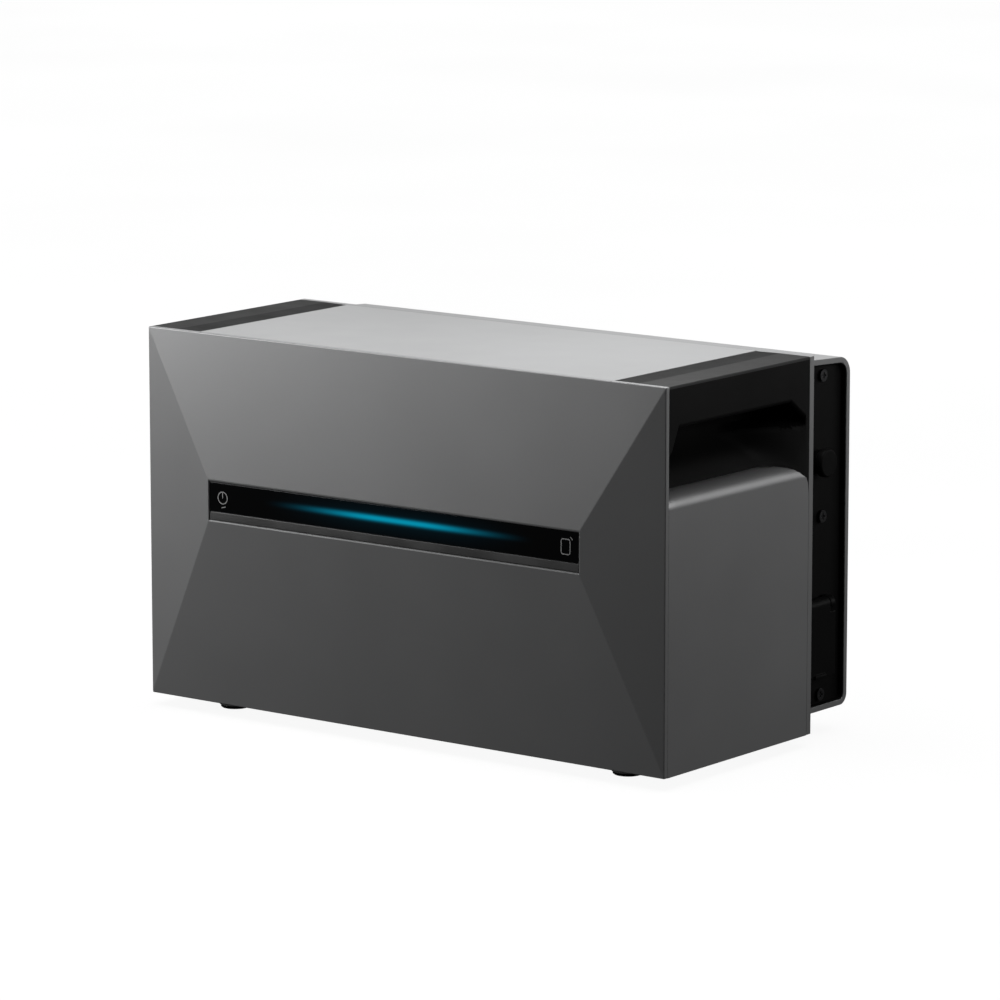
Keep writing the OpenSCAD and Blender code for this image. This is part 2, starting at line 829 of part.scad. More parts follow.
module busbars() {
    color(COPPER) for (i = [0 : cell_count - 2]) {
        y = pack_y + (i % 2 == 0 ? 1 : -1) * terminal_y;
        block([cell_x(i) - 8, y - 9, busbar_z], [cell_x(i + 1) + 8, y + 9, busbar_z + 2]);
    }
}

module cell_cover() {
    reach = pack_half + end_t;
    color(CLEAR) difference() {
        block([-reach, pack_y - cell_w / 2, cover_z], [reach, pack_y + cell_w / 2, cover_z + cover_t]);
        for (i = [0, cell_count - 1])
            rod_z(cell_x(i), pack_y - terminal_y, cover_z - eps, cover_z + cover_t + eps, 8);
    }
}

module bms_board() {
    z = cover_z + cover_t + 4;
    color(BOARD) {
        block([-95, pack_y - 45, z], [95, pack_y + 45, z + board_t]);
        for (x = [-88, 88], y = [-38, 38])
            rod_z(x, pack_y + y, cover_z + cover_t, z, 3);
        for (i = [-3 : 3])
            block([i * 22 - 7, pack_y + 18, z + board_t], [i * 22 + 7, pack_y + 30, z + board_t + 4]);
        for (i = [-2 : 2])
            block([i * 26 - 5, pack_y - 30, z + board_t], [i * 26 + 5, pack_y - 20, z + board_t + 3]);
    }
}

module main_fuse() {
    z = cover_z + cover_t;
    color(BLACK) {
        block([130, pack_y - 30, z], [156, pack_y + 30, z + 4]);
        rod_y(143, pack_y - 14, pack_y + 14, z + 9, 6);
        for (s = [-1, 1])
            block([136, pack_y + s * 20 - 7, z + 4], [150, pack_y + s * 20 + 7, z + 12]);
    }
}

module power_shelf() {
    shelf_t = 1.5;
    reach = pack_half + end_t;
    color(STEEL) difference() {
        union() {
            block([-reach, pack_y - 65, shelf_z], [reach, pack_y + 65, shelf_z + shelf_t]);
            for (s = [0, 1]) mirror([s, 0, 0])
                block([reach - shelf_t, pack_y - 65, cover_z + cover_t], [reach, pack_y + 65, shelf_z]);
        }
        for (i = [0, cell_count - 1])
            rod_z(cell_x(i), pack_y - terminal_y, shelf_z - eps, shelf_z + shelf_t + eps, 8);
    }
}

// A wound ring core standing flat on a board
module choke(x, y, z) {
    translate([x, y, z]) rotate_extrude() translate([11, 8]) circle(7);
    rod_z(x, y, z, z + 3, 12);
}

module dc_board() {
    z = shelf_z + 7.5;
    top = z + board_t;
    color(BOARD) {
        block([-165, pack_y - 55, z], [165, pack_y + 55, top]);
        for (x = [-155, 155], y = [-48, 48]) rod_z(x, pack_y + y, shelf_z + 1.5, z, 3);
        for (x = [-120, -70, 70, 120]) choke(x, pack_y - 22, top - eps);
        for (x = [-125, -100, 100, 125], y = [16, 38]) rod_z(x, pack_y + y, top - eps, top + 26, 9);
        block([-48, pack_y - 40, top], [48, pack_y - 6, top + 24]);
        block([-60, pack_y + 12, top], [60, pack_y + 20, top + 30]);
    }
}

module power_leads() {
    bend = 10;
    z_top = shelf_z + 7.5 + board_t + 5;
    color("#7d1f1c") for (s = [0, 1]) mirror([s, 0, 0]) {
        x = pack_half - cell_t / 2;
        y = pack_y - terminal_y;
        rod_z(x, y, busbar_z, busbar_z + 3, 5);
        rod_z(x, y, busbar_z + 2, z_top - bend, 3.5);
        translate([x - bend, y, z_top - bend]) rotate([90, 0, 0])
            rotate_extrude(angle = 90) translate([bend, 0]) circle(3.5);
        rod_x(x - bend - 34, x - bend, y, z_top, 3.5);
        rod_x(x - bend - 42, x - bend - 34, y, z_top, 5);
    }
}

module inverter_board() {
    y = sink_base_y - 18 - board_t;
    depth = 18;
    color(BOARD) {
        block([-140, y, 62], [140, y + board_t, 223]);
        for (x = [-115, -90, 90, 115], z = [80, 106]) rod_y(x, y - depth, y + eps, z, 10);
        block([-55, y - depth, 75], [-5, y, 125]);
        block([5, y - depth, 75], [55, y, 125]);
        for (x = [-100, -40, 40, 100]) block([x - 14, y - 14, 185], [x + 14, y, 210]);
        for (x = [-110, -66, -22, 22, 66, 110]) block([x - 8, y - 5, 150], [x + 8, y, 172]);
    }
}

module heat_spreader() {
    color(ALU) for (x = [-70, 70])
        block([x - 45, sink_base_y - 18, 140], [x + 45, sink_base_y, 180]);
}

// Nodes ----------------------------------------------------------------------------------------

front_panel();
display_lens();
display_trim();
display_carrier();
display_gasket();
light_guide();
display_board();
top_plate();
handle(true);  // handle_left
handle(false);  // handle_right
side_panel(true);  // side_panel_left
side_panel(false);  // side_panel_right
rear_frame();
base_plate();
foot(-foot_x, foot_y[0]);  // foot_front_left
foot(foot_x, foot_y[0]);  // foot_front_right
foot(-foot_x, foot_y[1]);  // foot_rear_left
foot(foot_x, foot_y[1]);  // foot_rear_right
foot_screws();
rear_housing();
housing_gasket();
housing_screws();
heat_sink();
port_panel_left();
port_panel_right();
port_screws();
earth_screw();
round_connector(grid_z);  // grid_connector
cap_seal(grid_z);  // grid_cap_seal
round_cap(grid_z);  // grid_cap
mirror([1, 0, 0]) round_connector(expansion_z);  // expansion_connector
mirror([1, 0, 0]) cap_seal(expansion_z);  // expansion_cap_seal
mirror([1, 0, 0]) round_cap(expansion_z);  // expansion_cap
outlet_socket();
outlet_lid();
outlet_pin();
outlet_spring();
pv_inputs();
pv_cap(0);  // pv_cap_1
pv_cap(1);  // pv_cap_2
pv_cap(2);  // pv_cap_3
pv_cap(3);  // pv_cap_4
vent_valve();
battery_tray();
cell_module(0);  // cell_module_1
cell_module(1);  // cell_module_2
cell_module(2);  // cell_module_3
cell_module(3);  // cell_module_4
cell_pads();
end_plates();
pack_straps();
busbars();
cell_cover();
bms_board();
main_fuse();
power_shelf();
dc_board();
power_leads();
inverter_board();
heat_spreader();
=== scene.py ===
"""Looks of a free-standing solar storage battery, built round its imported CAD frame."""
import math

import bmesh
import bpy
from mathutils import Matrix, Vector, geometry


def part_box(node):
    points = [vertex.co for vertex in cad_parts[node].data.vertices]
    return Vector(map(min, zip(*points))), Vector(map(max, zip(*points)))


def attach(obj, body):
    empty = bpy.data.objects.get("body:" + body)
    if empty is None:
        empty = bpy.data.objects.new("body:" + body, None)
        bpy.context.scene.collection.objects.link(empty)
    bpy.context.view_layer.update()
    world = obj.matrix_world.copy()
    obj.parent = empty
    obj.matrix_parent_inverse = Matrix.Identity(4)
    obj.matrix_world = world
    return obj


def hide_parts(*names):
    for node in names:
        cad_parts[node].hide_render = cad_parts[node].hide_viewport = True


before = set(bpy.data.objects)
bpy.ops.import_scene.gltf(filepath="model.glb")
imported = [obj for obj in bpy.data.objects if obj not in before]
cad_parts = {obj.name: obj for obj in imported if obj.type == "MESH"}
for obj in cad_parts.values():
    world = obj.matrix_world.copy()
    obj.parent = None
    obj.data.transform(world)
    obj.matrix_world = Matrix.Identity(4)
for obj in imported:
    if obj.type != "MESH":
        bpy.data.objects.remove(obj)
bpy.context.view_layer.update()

MM = 0.001
UNIT = "unit"
SMOOTH_ANGLE = math.radians(32)

# ---------------------------------------------------------------------------------------------
# Node materials
# ---------------------------------------------------------------------------------------------


class Graph:
    """A small helper that builds one node material."""

    def __init__(self, name):
        self.material = bpy.data.materials.new(name)
        self.material.use_nodes = True
        self.tree = self.material.node_tree
        self.shader = self.tree.nodes["Principled BSDF"]
        place = self.tree.nodes.new("ShaderNodeTexCoord")
        self.place = place.outputs["Object"]

    def node(self, kind, inputs=None, **settings):
        made = self.tree.nodes.new(kind)
        for key, value in settings.items():
            setattr(made, key, value)
        for key, value in (inputs or {}).items():
            self.feed(made.inputs[key], value)
        return made

    def feed(self, socket, value):
        if isinstance(value, bpy.types.NodeSocket):
            self.tree.links.new(value, socket)
        else:
            socket.default_value = value

    def noise(self, scale, detail=2.0, roughness=0.5, where=None, **settings):
        inputs = {"Vector": where or self.place, "Scale": scale, "Detail": detail,
                  "Roughness": roughness}
        return self.node("ShaderNodeTexNoise", inputs, **settings).outputs["Fac"]

    def math(self, operation, a, b=0.0, c=0.0, clamp=False):
        made = self.node("ShaderNodeMath", {0: a, 1: b, 2: c}, operation=operation, use_clamp=clamp)
        return made.outputs[0]

    def remap(self, value, lo, hi, new_lo, new_hi):
        made = self.node("ShaderNodeMapRange", {"Value": value, "From Min": lo, "From Max": hi,
                                                "To Min": new_lo, "To Max": new_hi})
        return made.outputs[0]

    def ease(self, value, start, end):
        """0 at start and 1 at end, leaving and arriving softly."""
        made = self.node("ShaderNodeMapRange", {"Value": value, "From Min": start, "From Max": end},
                         interpolation_type="SMOOTHSTEP")
        return made.outputs[0]

    def mix(self, factor, a, b):
        made = self.node("ShaderNodeMix", data_type="RGBA")
        self.feed(made.inputs["Factor"], factor)
        self.feed(made.inputs[6], a)
        self.feed(made.inputs[7], b)
        return made.outputs[2]

    def bump(self, height, distance, strength=1.0, under=None):
        made = self.node("ShaderNodeBump", {"Height": height, "Distance": distance,
                                            "Strength": strength})
        if under is not None:
            self.feed(made.inputs["Normal"], under)
        return made.outputs[0]

    def edges(self, radius, lo=0.02, hi=0.3):
        """0 on flat ground and 1 along edges, from how far a rounded normal leans away."""
        rounded = self.node("ShaderNodeBevel", {"Radius": radius}, samples=4)
        flat = self.node("ShaderNodeNewGeometry")
        lean = self.node("ShaderNodeVectorMath", {0: rounded.outputs[0], 1: flat.outputs["Normal"]},
                         operation="DOT_PRODUCT")
        return self.remap(lean.outputs["Value"], 1.0 - lo, 1.0 - hi, 0.0, 1.0)

    def set(self, **values):
        for key, value in values.items():
            self.feed(self.shader.inputs[key.replace("_", " ")], value)
        return self.material


def grey(level, warm=0.0):
    return (level * (1 + warm), level, level * (1 - warm), 1.0)


def scaled(colour, factor):
    return tuple(min(1.0, c * factor) for c in colour[:3]) + (1.0,)


def paint(name, level, rough, metallic):
    """Satin powder coat: fine orange peel, faint tone drift, and edges lightened as a painted
    highlight.
    """
    g = Graph(name)
    base = grey(level, -0.008)
    drift = g.noise(9.0, 3.0)
    grain = g.noise(1400.0, 2.0)
    peel = g.noise(420.0, 2.0)
    tone = g.mix(g.remap(drift, 0.3, 0.7, 0.0, 1.0), scaled(base, 0.97), scaled(base, 1.03))
    tone = g.mix(g.remap(grain, 0.35, 0.65, 0.0, 0.12), tone, scaled(base, 1.25))
    # painted highlight: the edges are lightened
    edge_highlight = g.edges(0.6 * MM)
    tone = g.mix(g.math("MULTIPLY", edge_highlight, 0.15), tone, scaled(base, 1.6))
    patch = g.remap(g.noise(22.0, 4.0), 0.3, 0.7, rough - 0.012, rough + 0.012)
    normal = g.bump(peel, 0.05 * MM, 0.35)
    normal = g.bump(grain, 0.02 * MM, 0.3, normal)
    return g.set(Base_Color=tone, Roughness=patch, Metallic=metallic, Normal=normal,
                 Specular_IOR_Level=0.5)


def moulded(name, level, rough, grain_scale=900.0, depth=0.06, specular=0.35, warm=0.0,
            shade_by_place=None):
    """Moulded plastic with a spark-eroded grain; an optional function of place gives a factor that
    darkens its colour as painted shade, and a specular level.
    """
    g = Graph(name)
    base = grey(level, warm)
    grain = g.noise(grain_scale, 3.0, 0.6)
    cloud = g.noise(14.0, 3.0)
    tone = g.mix(g.remap(cloud, 0.3, 0.7, 0.0, 1.0), scaled(base, 0.88), scaled(base, 1.14))
    # painted highlight: the edges are lightened
    edge_highlight = g.edges(0.6 * MM)
    tone = g.mix(g.math("MULTIPLY", edge_highlight, 0.35), tone, scaled(base, 2.0))
    sheen = g.remap(g.noise(30.0, 4.0), 0.3, 0.7, rough - 0.05, rough + 0.05)
    g.set(Base_Color=tone, Roughness=sheen, Normal=g.bump(grain, depth * MM, 0.6),
          Specular_IOR_Level=specular)
    if shade_by_place:
        # painted shade: the factor from place darkens the colour where shade falls
        shade_gain, shine = shade_by_place(g)
        painted_shade_tone = g.node("ShaderNodeVectorMath", {0: tone, "Scale": shade_gain}, operation="SCALE")
        g.set(Base_Color=painted_shade_tone.outputs[0], Specular_IOR_Level=shine)
    return g.material


def grip_painted_shade(g):
    """Painted shade: the grips' colour and specular are darkened deep in the recess under the bar;
    their flat tops' two bands are shinier.
    """
    split = g.node("ShaderNodeSeparateXYZ", {0: g.place})
    x, z = g.math("ABSOLUTE", split.outputs[0]), split.outputs[2]
    band = g.math("MULTIPLY_ADD", g.math("GREATER_THAN", x, GRIP_BAND_X),
                  GRIP_OUTER_SHINE - GRIP_INNER_SHINE, GRIP_INNER_SHINE)
    shine = g.math("MULTIPLY_ADD", g.math("GREATER_THAN", z, GRIP_TOP_Z), band, GRIP_SHINE)
    # painted shade deep in the recess, under the bar, in colour and specular alike
    inside = g.math("MULTIPLY", g.ease(x, *POCKET_X), g.math("LESS_THAN", z, POCKET_END_Z))
    deep = g.math("MULTIPLY", g.ease(z, *POCKET_Z), inside)
    shade_gain = g.math("MULTIPLY_ADD", deep, POCKET_PAINTED_SHADE - 1.0, 1.0)
    return shade_gain, g.math("MULTIPLY", shine, shade_gain)


def rubber(name, level):
    """Matt black rubber with a dusty bloom."""
    g = Graph(name)
    base = grey(level, 0.02)
    dust = g.noise(60.0, 5.0, 0.7)
    tone = g.mix(g.remap(dust, 0.45, 0.75, 0.0, 0.5), base, scaled(base, 2.2))
    grain = g.noise(1100.0, 2.0)
    rough = g.remap(dust, 0.3, 0.7, 0.72, 0.88)
    return g.set(Base_Color=tone, Roughness=rough, Normal=g.bump(grain, 0.05 * MM, 0.5),
                 Specular_IOR_Level=0.3)


def foot_rubber():
    """Grey moulded cup with a black rubber pad below it; the cup's grey is set lighter than its own
    tone, painted light standing in for light bounced up from the floor.
    """
    g = Graph("foot_rubber")
    split = g.node("ShaderNodeSeparateXYZ", {0: g.place})
    pad = g.math("LESS_THAN", split.outputs[2], (PAD_TOP + 0.05) * MM)
    dust = g.noise(60.0, 5.0, 0.7)
    # the grey cup is real, its level raised as painted light for the floor's bounce
    cup = g.mix(g.remap(dust, 0.3, 0.7, 0.0, 1.0), grey(0.28), grey(0.32))
    black = g.mix(g.remap(dust, 0.45, 0.75, 0.0, 0.5), grey(0.004), grey(0.01))
    return g.set(Base_Color=g.mix(pad, cup, black), Roughness=g.remap(dust, 0.3, 0.7, 0.55, 0.7),
                 Normal=g.bump(g.noise(900.0, 2.0), 0.04 * MM, 0.4), Specular_IOR_Level=0.2)


def metal(name, colour, rough, grain=(400.0, 400.0, 400.0), depth=0.02):
    """Bare or plated metal; the grain's three scales stretch it into brushing where they differ."""
    g = Graph(name)
    stretch = g.node("ShaderNodeMapping", {"Vector": g.place, "Scale": grain})
    lines = g.noise(1.0, 3.0, 0.6, where=stretch.outputs[0])
    stain = g.noise(25.0, 4.0)
    base = tuple(colour) + (1.0,)
    tone = g.mix(g.remap(stain, 0.35, 0.7, 0.0, 1.0), scaled(base, 0.85), base)
    # painted highlight: the edges are lightened
    edge_highlight = g.edges(0.5 * MM)
    tone = g.mix(g.math("MULTIPLY", edge_highlight, 0.4), tone, scaled(base, 1.5))
    sheen = g.remap(lines, 0.3, 0.7, rough - 0.06, rough + 0.08)
    return g.set(Base_Color=tone, Roughness=sheen, Metallic=1.0,
                 Normal=g.bump(lines, depth * MM, 0.5))


def display_glass():
    """Black glass with faint smudges and a streak of light that glows through it."""
    g = Graph("display_glass")
    low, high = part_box("light_guide")
    middle = (low.x + high.x) / 2 + STREAK_SHIFT
    half = (high.x - low.x) / 2 * STREAK_REACH
    split = g.node("ShaderNodeSeparateXYZ", {0: g.place})
    along = g.math("DIVIDE", g.math("SUBTRACT", split.outputs[0], middle), half)
    across = g.math("SUBTRACT", split.outputs[2], STREAK_Z)
    taper = g.ease(g.math("ABSOLUTE", along), 1.0, 0.15)
    width = g.math("MULTIPLY_ADD", taper, STREAK_SWELL, STREAK_WIDTH)
    steep = g.math("POWER", g.math("ABSOLUTE", g.math("DIVIDE", across, width)), 2.4)
    core = g.math("EXPONENT", g.math("MULTIPLY", steep, -1.0))
    far = g.math("DIVIDE", across, HALO_WIDTH)
    halo = g.math("EXPONENT", g.math("MULTIPLY", g.math("MULTIPLY", far, far), -1.0))
    hot = g.math("MULTIPLY", core, g.math("POWER", taper, 1.3))
    glow = g.math("MULTIPLY_ADD", g.math("MULTIPLY", halo, taper), 0.05, hot)
    colour = g.mix(hot, (0.0, 0.10, 0.16, 1.0), (0.0, 0.26, 0.40, 1.0))
    smudge = g.noise(18.0, 5.0, 0.65)
    dust = g.remap(g.noise(2600.0, 1.0), 0.72, 0.8, 0.0, 0.04)
    base = g.mix(dust, (0.0015, 0.0016, 0.0018, 1.0), (0.05, 0.05, 0.05, 1.0))
    return g.set(Base_Color=base, Roughness=g.remap(smudge, 0.4, 0.75, 0.05, 0.13),
                 Emission_Color=colour, Emission_Strength=g.math("MULTIPLY", glow, STREAK_POWER),
                 Specular_IOR_Level=0.25)


def lit_acrylic():
    """Milky light guide with a soft inner glow."""
    g = Graph("light_guide")
    haze = g.noise(140.0, 3.0)
    tone = g.mix(haze, (0.25, 0.75, 0.85, 1.0), (0.55, 0.9, 0.95, 1.0))
    return g.set(Base_Color=tone, Roughness=g.remap(haze, 0.3, 0.7, 0.2, 0.35),
                 Emission_Color=(0.0, 0.5, 0.75, 1.0), Emission_Strength=0.5,
                 Normal=g.bump(haze, 0.02 * MM))


def circuit_board():
    """Green solder mask with copper tracks and silkscreen-grey part bodies."""
    g = Graph("circuit_board")
    tracks = g.node("ShaderNodeTexBrick", {"Vector": g.place, "Scale": 90.0, "Mortar Size": 0.06,
                                           "Color1": (0, 0, 0, 1), "Color2": (0.1, 0.1, 0.1, 1),
                                           "Mortar": (1, 1, 1, 1)})
    cells = g.node("ShaderNodeTexVoronoi", {"Vector": g.place, "Scale": 120.0},
                   distance="CHEBYCHEV").outputs["Distance"]
    pads = g.remap(cells, 0.16, 0.12, 0.0, 1.0)
    mask = g.mix(tracks.outputs["Color"], (0.006, 0.07, 0.03, 1.0), (0.02, 0.16, 0.06, 1.0))
    tone = g.mix(pads, mask, (0.55, 0.5, 0.35, 1.0))
    return g.set(Base_Color=tone, Roughness=g.remap(pads, 0.0, 1.0, 0.45, 0.3),
                 Normal=g.bump(cells, 0.05 * MM, 0.4))


def cell_film():
    """Blue insulating film shrunk over the cells, with faint wrinkles."""
    g = Graph("cell_can")
    wrinkle = g.noise(70.0, 4.0, 0.6, noise_type="RIDGED_MULTIFRACTAL")
    tone = g.mix(g.noise(11.0, 2.0), (0.02, 0.09, 0.32, 1.0), (0.04, 0.15, 0.42, 1.0))
    return g.set(Base_Color=tone, Roughness=g.remap(wrinkle, 0.2, 1.0, 0.25, 0.4),
                 Normal=g.bump(wrinkle, 0.1 * MM, 0.3))


# The grips: how shiny their faces are, and what their flat tops' two bands add
GRIP_SHINE = 0.04
GRIP_INNER_SHINE = 0.05
GRIP_OUTER_SHINE = 0.17
GRIP_TOP_Z = 277 * MM
GRIP_BAND_X = 205 * MM
# Painted shade in the grips' recess: where it darkens, and the share of colour and specular it
# leaves
POCKET_X = (227 * MM, 207 * MM)     # painted shade: the recess is darkened from the face inwards
POCKET_Z = (208 * MM, 223 * MM)     # and from its foot upwards
POCKET_END_Z = 271 * MM             # but not above this height
POCKET_PAINTED_SHADE = 0.25

# Where a foot's black pad meets its grey cup, in millimetres above the floor
PAD_TOP = 2.4

# The streak of light on the glass: its place, its reach along the light guide, and its widths
STREAK_SHIFT = 5.2 * MM
STREAK_Z = 164.0 * MM
STREAK_REACH = 0.97
STREAK_WIDTH = 2.0 * MM
STREAK_SWELL = 0.3 * MM
HALO_WIDTH = 9.0 * MM
STREAK_POWER = 0.96

PAINT = paint("panel_paint", 0.135, 0.42, 0.35)
# painted light: the top plate has the panels' own paint, set a little lighter as a lit copy for the
# light from above
LIT_TOP_PAINT = paint("top_paint", 0.16, 0.40, 0.35)
GRIP = moulded("grip_plastic", 0.003, 0.58, 1000.0, 0.05, shade_by_place=grip_painted_shade)
PORTS = moulded("port_plastic", 0.0016, 0.55, 1300.0, 0.04, specular=0.035)
INNER = moulded("inner_plastic", 0.015, 0.5)
TRIM = moulded("trim_plastic", 0.022, 0.38, 1500.0, 0.02, specular=0.45)
RUBBER = rubber("rubber", 0.01)
FOOT = foot_rubber()
GLASS = display_glass()
GUIDE = lit_acrylic()
BOARD = circuit_board()
CAN = cell_film()
SCREW = metal("screw_steel", (0.022, 0.022, 0.023), 0.45)
SINK = metal("heatsink_aluminium", (0.30, 0.30, 0.31), 0.45, (700.0, 700.0, 700.0), 0.03)
PLATED = metal("pack_steel", (0.55, 0.55, 0.52), 0.35, (40.0, 900.0, 900.0))
COPPER = metal("busbar_copper", (0.72, 0.34, 0.18), 0.3, (60.0, 900.0, 900.0))
SHEET = moulded("insulator", 0.55, 0.5, 300.0, 0.05)
LEAD = moulded("lead_insulation", 0.05, 0.45, 800.0, 0.03)
PRINT = moulded("printed_icon", 0.22, 0.5, 2000.0, 0.01)

# ---------------------------------------------------------------------------------------------
# Mesh tools
# ---------------------------------------------------------------------------------------------


WELD_GAP = 0.01 * MM
SAME_PLACE = 0.002 * MM
FLAT_ANGLE = math.radians(0.3)


def finish_piece(obj, node, material, body):
    obj.data.materials.clear()
    obj.data.materials.append(material)
    bpy.context.scene.collection.objects.link(obj)
    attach(obj, body)
    if node:
        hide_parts(node)
    return obj


def smooth(mesh):
    """Smooth shading, with hard edges wherever the surface turns sharply."""
    for polygon in mesh.polygons:
        polygon.use_smooth = True
    bm = bmesh.new()
    bm.from_mesh(mesh)
    for edge in bm.edges:
        if len(edge.link_faces) == 2:
            edge.smooth = edge.calc_face_angle(0.0) < SMOOTH_ANGLE
    bm.to_mesh(mesh)
    bm.free()


def weigh_normals(obj):
    modifier = obj.modifiers.new("weighted", "WEIGHTED_NORMAL")
    modifier.keep_sharp = True
    modifier.weight = 80


def mesh_object(name, verts, faces):
    mesh = bpy.data.meshes.new(name)
    mesh.from_pydata([tuple(v) for v in verts], [], faces)
    mesh.validate()
    bm = bmesh.new()
    bm.from_mesh(mesh)
    bmesh.ops.recalc_face_normals(bm, faces=bm.faces)
    bm.to_mesh(mesh)
    bm.free()
    return bpy.data.objects.new(name, mesh)


def weld(mesh):
    """Joins points that lie on each other and drops the empty faces between them."""
    bm = bmesh.new()
    bm.from_mesh(mesh)
    bmesh.ops.remove_doubles(bm, verts=bm.verts, dist=WELD_GAP)
    bmesh.ops.dissolve_degenerate(bm, edges=bm.edges, dist=WELD_GAP)
    bmesh.ops.recalc_face_normals(bm, faces=bm.faces)
    bm.to_mesh(mesh)
    bm.free()


def softened(node, material, width, body=UNIT, segments=2, angle=30.0, name=None):
    """A clean copy of a CAD node, its edges rounded by width, in millimetres."""
    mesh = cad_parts[node].data.copy()
    mesh.name = (name or node) + "_shape"
    bm = bmesh.new()
    bm.from_mesh(mesh)
    bmesh.ops.remove_doubles(bm, verts=bm.verts, dist=SAME_PLACE)
    bmesh.ops.dissolve_limit(bm, angle_limit=FLAT_ANGLE, verts=bm.verts, edges=bm.edges)
    bmesh.ops.recalc_face_normals(bm, faces=bm.faces)
    bm.to_mesh(mesh)
    bm.free()
    obj = bpy.data.objects.new(name or node + "_finished", mesh)
    for polygon in mesh.polygons:
        polygon.use_smooth = True
    bevel = obj.modifiers.new("rounded", "BEVEL")
    bevel.width = width * MM
    bevel.segments = segments
    bevel.limit_method = "ANGLE"
    bevel.angle_limit = math.radians(angle)
    bevel.use_clamp_overlap = False
    bevel.miter_outer = "MITER_ARC"
    weigh_normals(obj)
    return finish_piece(obj, node, material, body)


# ---------------------------------------------------------------------------------------------
# Camera, floor and lights
# ---------------------------------------------------------------------------------------------

CAMERA_AZIMUTH = 37.38
CAMERA_ELEVATION = 10.307
CAMERA_LENS = 196.64
CAMERA_PLACE = Vector((2.3400, -3.0618, 0.8610))
FLOOR_REACH = 14.0


def make_camera():
    data = bpy.data.cameras.new("camera")
    data.lens = CAMERA_LENS
    data.sensor_width = 36.0
    data.clip_start = 0.05
    data.clip_end = 60.0
    camera = bpy.data.objects.new("camera", data)
    a, e = math.radians(CAMERA_AZIMUTH), math.radians(CAMERA_ELEVATION)
    back = Vector((math.sin(a) * math.cos(e), -math.cos(a) * math.cos(e), math.sin(e)))
    camera.location = CAMERA_PLACE
    camera.rotation_mode = "QUATERNION"
    camera.rotation_quaternion = (-back).to_track_quat("-Z", "Y")
    bpy.context.scene.collection.objects.link(camera)
    bpy.context.scene.camera = camera


def make_floor():
    r = FLOOR_REACH
    obj = mesh_object("floor", [(-r, -r, 0), (r, -r, 0), (r, r, 0), (-r, r, 0)], [(0, 1, 2, 3)])
    g = Graph("floor")
    cloud = g.noise(1.5, 2.0)
    tone = g.mix(cloud, grey(FLOOR_TONE - 0.01), grey(FLOOR_TONE + 0.01))
    g.set(Base_Color=tone, Roughness=g.remap(cloud, 0.3, 0.7, 0.75, 0.85), Specular_IOR_Level=0.1)
    obj.data.materials.append(g.material)
    bpy.context.scene.collection.objects.link(obj)
    obj.visible_diffuse = False
    obj.visible_glossy = False
    return obj


def receivers(name, floor, state):
    """A light's receivers: the floor alone ("INCLUDE") or everything but the floor ("EXCLUDE")."""
    group = bpy.data.collections.new(name)
    group.objects.link(floor)
    group.collection_objects[0].light_linking.link_state = state
    return group


def place_lamp(name, data, place, aim, lit):
    lamp = bpy.data.objects.new(name, data)
    lamp.location = place
    lamp.rotation_mode = "QUATERNION"
    lamp.rotation_quaternion = (Vector(aim) - Vector(place)).to_track_quat("-Z", "Y")
    lamp.light_linking.receiver_collection = lit
    bpy.context.scene.collection.objects.link(lamp)
    return lamp


def area_light(name, place, aim, size, power, lit):
    data = bpy.data.lights.new(name, "AREA")
    data.shape = "RECTANGLE"
    data.size, data.size_y = size
    data.energy = power
    place_lamp(name, data, place, aim, lit)


# Soft boxes on a dome round the unit: azimuth (0 in front, 90 at the right), elevation, distance,
# width, height and watts
DOME_CENTRE = Vector((0, -0.03, 0.14))
DOME_AIM = (0, -0.03, 0.16)
DOME = {
    "front_left_low": (-60, 15, 1.6, 0.7, 0.7, 12.2),
    "front_low": (0, 15, 1.6, 0.7, 0.7, 1.1),
    "right_low": (90, 15, 1.6, 0.7, 0.7, 2.3),
    "right_side": (120, 15, 1.6, 0.5, 0.5, 8.15),
    "rear_right_low": (150, 10, 1.6, 0.5, 0.5, 2.7),
    "rear_left_wide": (-142, 8, 2.4, 1.8, 0.5, 3.9),
    "left_wide": (-118, 12, 2.4, 1.8, 0.5, 2.2),
}
# Smaller boxes close to the unit: place, aim, size, watts
NEAR = {
    "near_left": ((-0.75, -0.60, 0.60), (-0.1, -0.1, 0.2), 0.4, 6.7),
    "near_top_right": ((0.12, 0.0, 0.90), (0.12, 0.0, 0.28), 0.3, 17.8),
}
WORLD_GLOW = 0.037
FLOOR_TONE = 0.62
FLOOR_WHITE = 1.0


